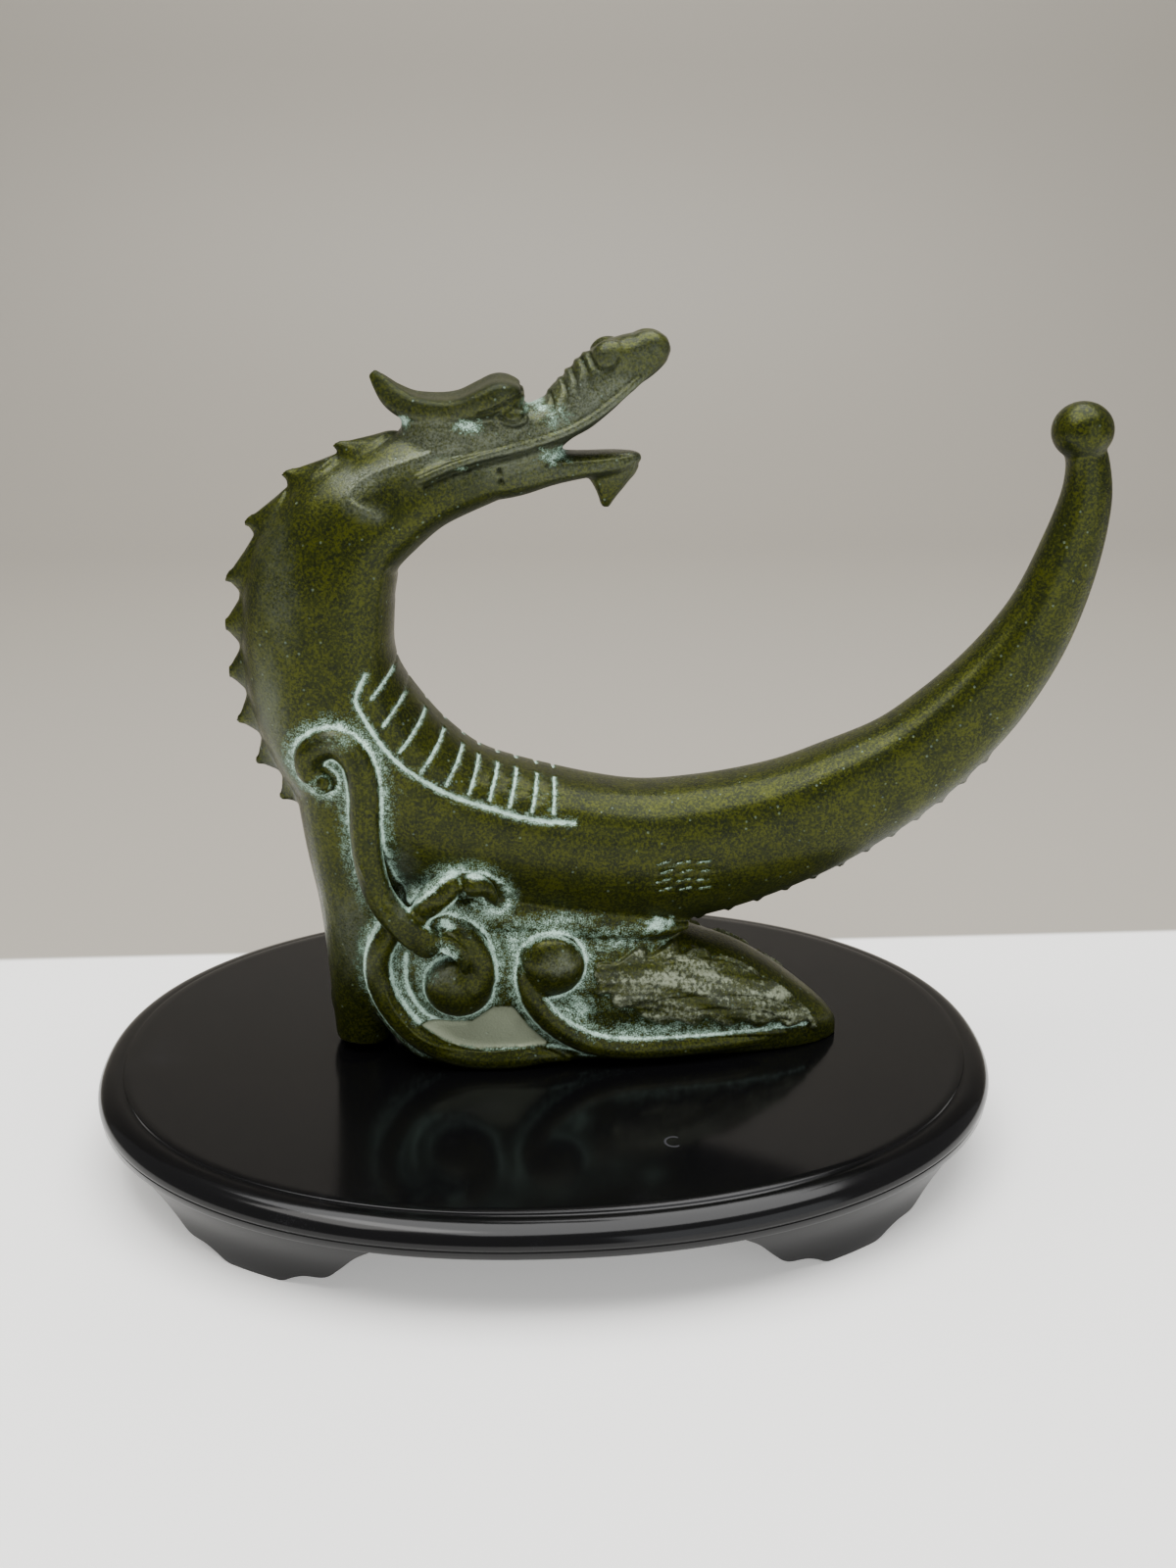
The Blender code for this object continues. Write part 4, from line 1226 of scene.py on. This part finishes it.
@dataclass
class DragonCasting:
    """The whole casting as one skin over its forms.

    Attributes:
        share: metres in one share.
        middle: the middle of the stand's top.
    """

    share: float
    middle: Vector
    body: Body = Body()
    head: Head = Head()
    base: WaveBase = WaveBase()
    relief: Relief = Relief()
    cell: float = 0.84
    soften_steps: int = 3
    soften_factor: float = 0.5
    fillet: float = 0.8
    fillet_rise: Row = (0.0, 0.8)
    fillet_rounds: int = 2
    fillet_spread: int = 20
    flank_from: float = 12.0
    rock_rise: float = 1.9
    crack_depth: float = 0.3
    face_depth: float = 1.2
    band_foot: Row = (-0.5, 1.2)
    halo_rise: Row = (-1.3, 0.6)
    halo_line: Row = (0.3, 2.6)
    halo_line_paint: float = 0.86
    halo_from: float = 1.0
    halo_reach: float = 9.0
    halo_paint: float = 0.5
    hollow_paint: float = 0.44
    spot_fade: Row = (0.1, 1.4)
    worn_fade: Row = (0.2, 1.5)
    head_bloom: float = 0.85
    cheek_bloom: float = 0.6
    cheek_width: float = 10.0
    rock_bloom: Row = (0.3, 0.3)
    rock_sand: Row = (0.32, 0.18)
    rock_clear: float = 0.4
    face_clear: float = 0.5
    under_rise: Row = (0.3, 0.9)
    crevice_shade: float = 0.9
    dish_shade: float = 0.55
    lowest: float = 0.3
    most_triangles: int = 192000

    def build(self, finish: bpy.types.Material) -> bpy.types.Object:
        """Skins the forms, works the relief, marks the patina and the painted shade, and thins the mesh.

        Args:
            finish: the bronze.

        Returns:
            The finished casting.
        """
        forms = Forms()
        for part in (self.body, self.head, self.base):
            part.add_to(forms)
        holder = put_in_scene("casting_forms", forms.to_mesh("casting_forms"))
        skin = holder.modifiers.new("Skin", "REMESH")
        skin.mode = "VOXEL"
        skin.voxel_size = self.cell
        soften = holder.modifiers.new("Soften", "SMOOTH")
        soften.factor = self.soften_factor
        soften.iterations = self.soften_steps
        mesh = evaluated_mesh(holder)
        bpy.data.objects.remove(holder, do_unlink=True)
        LOG.info("skin has %d faces", len(mesh.polygons))
        self._work(mesh)
        mesh.materials.clear()
        mesh.materials.append(finish)
        casting = put_in_scene("dragon_casting", mesh)
        thin = casting.modifiers.new("Thin", "DECIMATE")
        thin.ratio = min(1.0, self.most_triangles / (2 * len(mesh.polygons)))
        casting.data = evaluated_mesh(casting)
        casting.modifiers.clear()
        casting.data.shade_smooth()
        return casting

    def _work(self, mesh: bpy.types.Mesh) -> None:
        """Cuts the relief into the skin, marks its patina and its painted shade, and moves it to its place.

        Args:
            mesh: the skin, in shares.
        """
        points = mesh_column(mesh.vertices, "co")
        normals = mesh_column(mesh.vertex_normals, "vector")
        edges = mesh_column(mesh.edges, "vertices", 2)
        for _ in range(self.fillet_rounds):
            lift = self._lift(points, normals, edges, self.fillet_spread)
            points = points + normals * (self.fillet * soft_step(lift, *self.fillet_rise) * lift)[:, None]
        plane, depth = points[:, (0, 2)], points[:, 1]
        sunk, paint = self._cuts(plane, depth)
        on_flank = np.abs(depth) > self.flank_from
        rugged = plane + 1.6 * np.sin(0.45 * plane[:, ::-1] + 1.3 * np.sin(0.31 * plane))
        rock = self.relief.patch(self.relief.rock, rugged) * on_flank
        face = self.relief.patch(self.relief.face, plane) * on_flank
        away = self._away(plane, depth)
        streaks = self.relief.streaks(plane)
        off_bands = soft_step(away, *self.band_foot)
        sunk += rock * (-self.rock_rise - self.crack_depth * streaks) + self.face_depth * face * off_bands
        points = points - normals * sunk[:, None]
        hollow = self._hollows(points, normals, edges)
        crevice = self.relief.crevices(plane)
        verdigris = np.maximum(paint, self.hollow_paint * hollow * (1 - crevice))
        verdigris = np.maximum(verdigris, self._halo_and_spots(plane, away))
        worn = self.relief.stains(self.relief.worn, plane, self.worn_fade)
        bloom = worn + (self.rock_bloom[0] + self.rock_bloom[1] * streaks) * rock
        bloom += self.head_bloom * self.head.bloom_mask(points, normals)
        off_cheek = distance_to(plane, smooth_rows(self.relief.cheek_edge, 40))
        bloom += self.cheek_bloom * bump(off_cheek, self.cheek_width)
        # painted shade: the skin is marked darker on its downward faces and in its crevices
        shade = soft_step(-normals[:, 2], *self.under_rise) + self.crevice_shade * crevice
        for name, values in (
            ("verdigris", verdigris - self.rock_clear * rock - self.face_clear * face), ("bloom", bloom),
            # painted shade on the upward faces of the crest's dish
            ("shade", shade + self.dish_shade * self.head.dish_mask(points, normals)),
            ("sand", face * off_bands + (self.rock_sand[0] + self.rock_sand[1] * streaks) * rock),
        ):
            attribute = mesh.attributes.new(name, "FLOAT", "POINT")
            attribute.data.foreach_set("value", np.clip(values, 0, 1).astype(np.float32))
        points[:, 2] = np.maximum(points[:, 2], self.lowest)
        low, high = (np.array(corner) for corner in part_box("dragon"))
        points = np.clip(points * self.share + np.array(self.middle), low, high)
        mesh.vertices.foreach_set("co", points.ravel())
        mesh.update()

    def _halo_and_spots(self, plane: Array, away: Array) -> Array:
        """Verdigris round the raised forms and in spots beside them.

        Args:
            plane: the points in the plane of the crescent.
            away: how far they lie outside the raised forms.

        Returns:
            How much of it lies at each point.
        """
        line = self.halo_line_paint - self.halo_line_paint * soft_step(away, *self.halo_line)
        wide = self.halo_paint - self.halo_paint * soft_step(away, self.halo_from, self.halo_reach)
        halo = soft_step(away, *self.halo_rise) * np.maximum(line, wide)
        return np.maximum(halo, self.relief.stains(self.relief.verdigris_spots, plane, self.spot_fade))

    def _cuts(self, plane: Array, depth: Array) -> tuple[Array, Array]:
        """Lays the relief's cuts over the skin.

        Args:
            plane: the points in the plane of the crescent.
            depth: their distances from it.

        Returns:
            How deep the grooves go at each point, and how much verdigris they hold there.
        """
        margin = 6.0
        sunk, raised, paint = np.zeros((3, len(plane)))
        for cuts, sides in ((self.relief.cuts(), np.abs(depth)), (self.relief.inscription(), -depth)):
            for cut in cuts:
                box = (sides >= cut.flank_from) & (plane > cut.line.min(axis=0) - margin).all(axis=1)
                box &= (plane < cut.line.max(axis=0) + margin).all(axis=1)
                near = distance_to(plane[box], cut.line)
                groove = bump(near, cut.width)
                sunk[box] = np.maximum(sunk[box], groove * max(cut.depth, 0))
                raised[box] = np.maximum(raised[box], groove * max(-cut.depth, 0))
                stain = np.maximum(groove, 0.55 * bump(near, cut.width * 2.2)) * cut.paint
                paint[box] = np.maximum(paint[box], stain)
        return sunk - raised, paint

    def _away(self, plane: Array, depth: Array) -> Array:
        """How far each point of the flanks lies outside the forms raised on them.

        Args:
            plane: the points in the plane of the crescent.
            depth: their distances from it.

        Returns:
            The distances, negative inside the forms, and far wherever no such form is.
        """
        base = self.base
        away = np.full(len(plane), 99.0)
        in_reach = (plane[:, 1] < 165) & (plane[:, 1] > 3) & (plane[:, 0] < 112)
        region = np.flatnonzero((np.abs(depth) > self.flank_from) & in_reach)
        near_plane, found = plane[region], away[region]
        for band in (base.foreleg, base.upper_claw, base.scroll, base.wave_tail, base.wave_arm, base.claw):
            rows = smooth_rows(band, 8 * len(band))
            found = np.minimum(found, distance_to(near_plane, rows[:, (0, 2)]) - rows[:, 3].mean())
        for (x, _, z), (half_x, _, half_z) in (base.knob, base.scroll_bulb):
            ratio = np.hypot((near_plane[:, 0] - x) / half_x, (near_plane[:, 1] - z) / half_z)
            found = np.minimum(found, (ratio - 1) * half_x)
        away[region] = found
        return away

    @staticmethod
    def _spread(values: Array, edges: Array, steps: int) -> Array:
        """Averages values over their neighbours.

        Args:
            values: a row for each point.
            edges: which points are neighbours.
            steps: how many times over.

        Returns:
            The averaged values.
        """
        count = len(values)
        degree = np.bincount(edges.ravel(), minlength=count)[:, None]
        for _ in range(steps):
            columns = []
            for column in values.T:
                columns.append(np.bincount(edges[:, 0], column[edges[:, 1]], count))
                columns[-1] += np.bincount(edges[:, 1], column[edges[:, 0]], count)
            values = np.stack(columns, axis=1) / degree
        return values

    @staticmethod
    def _lift(points: Array, normals: Array, edges: Array, steps: int) -> Array:
        """How far each point's smoothed neighbourhood stands out past it."""
        return np.einsum("ij,ij->i", DragonCasting._spread(points, edges, steps) - points, normals)

    @staticmethod
    def _hollows(points: Array, normals: Array, edges: Array) -> Array:
        """Finds the hollows of the skin.

        Args:
            points: the skin's points.
            normals: their normals.
            edges: its edges.

        Returns:
            0 in the open to 1 in a hollow.
        """
        lift = DragonCasting._lift(points, normals, edges, steps=24)
        marked = soft_step(lift, low=0.15, high=0.8)[:, None]
        around = DragonCasting._spread(marked, edges, steps=16)
        return np.clip(np.maximum(0.9 * marked, 1.4 * around)[:, 0], 0, 1)


@dataclass
class OvalStand:
    """The moulded oval board and its four bracket feet.

    Attributes:
        low: the stand's lowest corner.
        high: its highest corner.
        step: inset from the step and drop, where the flat top ends.
        lip: inset and drop of the parting line and the lip below it.
        foot_edge: how far out from a foot's middle, and how far up its height, its lower edge runs.
    """

    low: Vector
    high: Vector
    power: float = 2.15
    board_thickness: float = 0.0130
    cap_inset: float = 0.05
    step_inset: float = 0.0110
    step: Rows = ((0.004, 0.0), (0.0008, 0.0), (0.0003, 0.0002), (0.0, 0.0008), (-0.0005, 0.0009))
    shoulder_drop: float = 0.0010
    round_inset: float = 0.0100
    round_drop: float = 0.0086
    round_steps: int = 24
    lip: Rows = (
        (0.0003, 0.0091), (0.0008, 0.0094), (0.0008, 0.0097), (0.0005, 0.0100), (0.0005, 0.0124),
        (0.0009, 0.0130), (0.0020, 0.0130),
    )
    steps: int = 240
    sharp_from: float = math.radians(38)
    foot_span: float = 0.112
    foot_wall: float = 0.010
    foot_inset: float = 0.0028
    foot_taper: float = 0.0068
    foot_curve: float = 0.0012
    foot_bearing: float = math.radians(52.4)
    foot_tenon: float = 0.002
    foot_edge: Rows = (
        (0.0, 0.0), (0.19, 0.0), (0.26, 0.03), (0.34, 0.13), (0.44, 0.21), (0.60, 0.26), (0.72, 0.46),
        (0.86, 0.76), (1.0, 0.97),
    )

    def outline(self, angle: float, inset: float = 0.0) -> Array:
        """A point of the oval.

        Args:
            angle: where on it.
            inset: how far inwards, square to the oval.

        Returns:
            Its x and y.
        """
        half = np.array([self.high.x - self.low.x, self.high.y - self.low.y]) / 2
        ahead, behind = (np.array(rounded(angle + turn, self.power)) * half for turn in (1e-3, -1e-3))
        along = (ahead - behind) / np.linalg.norm(ahead - behind)
        return np.array(rounded(angle, self.power)) * half - inset * np.array([along[1], -along[0]])

    def profile(self) -> list[tuple[float, float]]:
        """The board's edge: flat top, step, rounded edge, parting line and lip.

        Returns:
            Inset and drop of each corner, from the top down.
        """
        points = [(self.cap_inset, 0.0)] + [(self.step_inset + inset, drop) for inset, drop in self.step]
        for angle in np.linspace(0, math.pi / 2, self.round_steps + 1):
            points.append((self.round_inset * (1 - math.sin(angle)),
                           self.round_drop - (self.round_drop - self.shoulder_drop) * math.cos(angle)))
        return points + [*self.lip, (self.cap_inset, self.board_thickness)]

    def build(self, finish: bpy.types.Material) -> bpy.types.Object:
        """Builds board and feet.

        Args:
            finish: the lacquer.

        Returns:
            The stand.
        """
        board = Forms()
        angles = [2 * math.pi * (i + 0.5) / self.steps for i in range(self.steps)]
        rings = [[(*self.outline(angle, inset), -drop) for angle in angles] for inset, drop in self.profile()]
        board.add_rings(np.array(rings))
        for side_x in (-1, 1):
            for side_y in (-1, 1):
                board.add_rings(self.foot_rings(side_x, side_y))
        mesh = board.to_mesh("stand_lacquer")
        mesh.materials.append(finish)
        middle = ((self.low.x + self.high.x) / 2, (self.low.y + self.high.y) / 2, self.high.z)
        points = mesh_column(mesh.vertices, "co") + middle
        mesh.vertices.foreach_set("co", points.ravel())
        stand = put_in_scene("stand_lacquer", mesh)
        mesh.shade_smooth()
        mesh.set_sharp_from_angle(angle=self.sharp_from)
        return stand

    def foot_rings(self, side_x: int, side_y: int) -> Array:
        """One bracket foot.

        Args:
            side_x: -1 or 1, the foot's side along the stand.
            side_y: -1 or 1, its side across.

        Returns:
            Its rings, along its span.
        """
        fine = np.linspace(0, math.pi / 2, 800)
        outline = np.array([self.outline(angle) for angle in fine])
        distance = np.concatenate([[0], np.cumsum(np.linalg.norm(np.diff(outline, axis=0), axis=1))])
        middle = np.interp(self.foot_bearing, fine, distance)
        height = (self.high.z - self.low.z) - self.board_thickness
        edge = smooth_rows(self.foot_edge, 80)
        rings = []
        for share in np.linspace(-1, 1, 81):
            angle = np.interp(middle + share * self.foot_span / 2, distance, fine)
            lowest = max(0.0, np.interp(abs(share), edge[:, 0], edge[:, 1])) * height
            outer, inner = [], []
            for z in np.linspace(height + self.foot_tenon, lowest, 16):
                fall = 1 - min(1.0, z / height)
                swell = self.foot_curve * math.sin(math.pi * fall) ** 2
                inset = self.foot_inset + swell + self.foot_taper * fall
                for side, extra in ((outer, 0.0), (inner, self.foot_wall)):
                    x, y = self.outline(angle, inset + extra)
                    side.append((x * side_x, y * side_y, z - height - self.board_thickness))
            rings.append(outer + inner[::-1])
        return np.array(rings)


@dataclass(frozen=True)
class Lamp:
    """An area light: its place from the middle of the stand's top, its size, power and tone."""

    name: str
    place: Row
    size: float
    power: float
    tone: Row


@dataclass(frozen=True)
class Studio:
    """Camera, floor and lights.

    Attributes:
        eye: the camera, from the middle of the stand's top.
        heading: how far the camera is turned to the right of straight ahead.
        pitch: how far it looks down.
        table_depth: where the pale table ends behind the middle.
        aim: where the lamps point, from the middle of the stand's top.
    """

    eye: Row = (-0.0173, -0.6411, 0.3656)
    heading: float = math.atan2(0.055, 0.9985)
    pitch: float = math.radians(21.08)
    sensor_width: float = 36.0
    table_tone: Row = (0.97, 0.965, 0.945, 1)
    wall_tone: Row = (0.355, 0.33, 0.285, 1)
    no_glow: Row = (0, 0, 0, 1)
    table_depth: float = 0.165
    table_blend: float = 0.006
    table_glow: float = 0.34
    floor_roughness: float = 0.55
    half_width: float = 3.0
    front: float = -2.5
    depth: float = 1.1
    bend: float = 0.5
    height: float = 3.0
    air: Row = (1.0, 0.98, 0.95, 1)
    air_strength: float = 0.37
    aim: Row = (0, 0, 0.12)
    lamps: tuple[Lamp, ...] = (
        Lamp("key", (-0.60, -0.35, 1.35), 0.7, 9.0, (1.0, 0.98, 0.95)),
        Lamp("overhead", (0.10, 0.05, 1.7), 1.8, 61.0, (1.0, 1.0, 1.0)),
        Lamp("fill", (0.9, -1.4, 0.45), 1.3, 9.0, (0.93, 0.96, 1.0)),
    )

    def build(self, middle: Vector) -> None:
        """Sets up the scene round the stand.

        Args:
            middle: the middle of the stand's top.
        """
        scene = bpy.context.scene
        lens = bpy.data.cameras.new("photo_view")
        lens.sensor_fit = "AUTO"
        lens.sensor_width = self.sensor_width
        lens.lens = lens.sensor_width * FOCAL_PX / PHOTO_HEIGHT_PX
        camera = bpy.data.objects.new("photo_view", lens)
        camera.location = middle + Vector(self.eye)
        camera.rotation_euler = (math.pi / 2 - self.pitch, 0, -self.heading)
        scene.collection.objects.link(camera)
        scene.camera = camera
        floor = self._floor()

        world = bpy.data.worlds.new("studio")
        world.use_nodes = True
        background = world.node_tree.nodes["Background"]
        NodeTree(world.node_tree).feed(background, {"Color": self.air, "Strength": self.air_strength})
        scene.world = world
        for lamp in self.lamps:
            light = bpy.data.lights.new(lamp.name, "AREA")
            light.size, light.energy, light.color = lamp.size, lamp.power, lamp.tone
            holder = bpy.data.objects.new(lamp.name, light)
            holder.location = middle + Vector(lamp.place)
            towards = middle + Vector(self.aim) - holder.location
            holder.rotation_euler = towards.to_track_quat("-Z", "Y").to_euler()
            scene.collection.objects.link(holder)

    def _floor(self) -> bpy.types.Object:
        """A plain sweep, pale as far back as the table's edge and duller behind it; the pale part glows
        faintly, a painted light on the table.

        Returns:
            The floor.
        """
        material, shader, hand, place = new_material("pale_floor")
        back = hand.add("ShaderNodeSeparateXYZ", {0: place}).outputs["Y"]
        behind = hand.ramp(back, self.table_depth, self.table_depth + self.table_blend)
        # painted light: the table part emits a faint glow in its own tone, and the part behind it does not
        hand.feed(shader, {
            "Base Color": hand.mix(behind, self.table_tone, self.wall_tone),
            "Emission Color": hand.mix(behind, self.table_tone, self.no_glow),
            "Emission Strength": self.table_glow, "Roughness": self.floor_roughness,
        })
        mesh = bpy.data.meshes.new("floor")
        sweep = [(self.front, 0.0), (self.depth, 0.0)]
        for angle in np.linspace(0.1, math.pi / 2, 16):
            sweep.append((self.depth + self.bend * math.sin(angle), self.bend - self.bend * math.cos(angle)))
        sweep.append((self.depth + self.bend, self.height))
        mesh.from_pydata([(x, y, z) for y, z in sweep for x in (-self.half_width, self.half_width)], [],
                         [(2 * i, 2 * i + 1, 2 * i + 3, 2 * i + 2) for i in range(len(sweep) - 1)])
        mesh.materials.append(material)
        mesh.shade_smooth()
        return put_in_scene("floor", mesh)


def main() -> None:
    """Builds the classes in order and hands each piece to the frame."""
    logging.basicConfig(level=logging.INFO, format="%(message)s")
    stand_low, stand_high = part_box("stand")
    dragon_low, dragon_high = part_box("dragon")
    middle = Vector(((stand_low.x + stand_high.x) / 2, (stand_low.y + stand_high.y) / 2, stand_high.z))
    share = (dragon_high.z - dragon_low.z) / CAD_SHARES
    Studio().build(middle)
    mottle, grain = mottle_group(), cast_grain_group()
    bronze = BronzePatina().build(mottle, grain)
    lacquer = BlackLacquer().build(mottle, grain, middle + Vector(WORN_RING_AT))
    for piece, node, slot in (
        (DragonCasting(share, middle).build(bronze), "dragon", "bronze"),
        (OvalStand(stand_low, stand_high).build(lacquer), "stand", "lacquer"),
    ):
        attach(piece, "root")
        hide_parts(node)
        LOG.info("%s: %d faces", piece.name, len(piece.data.polygons))


if __name__ == "__main__":
    main()
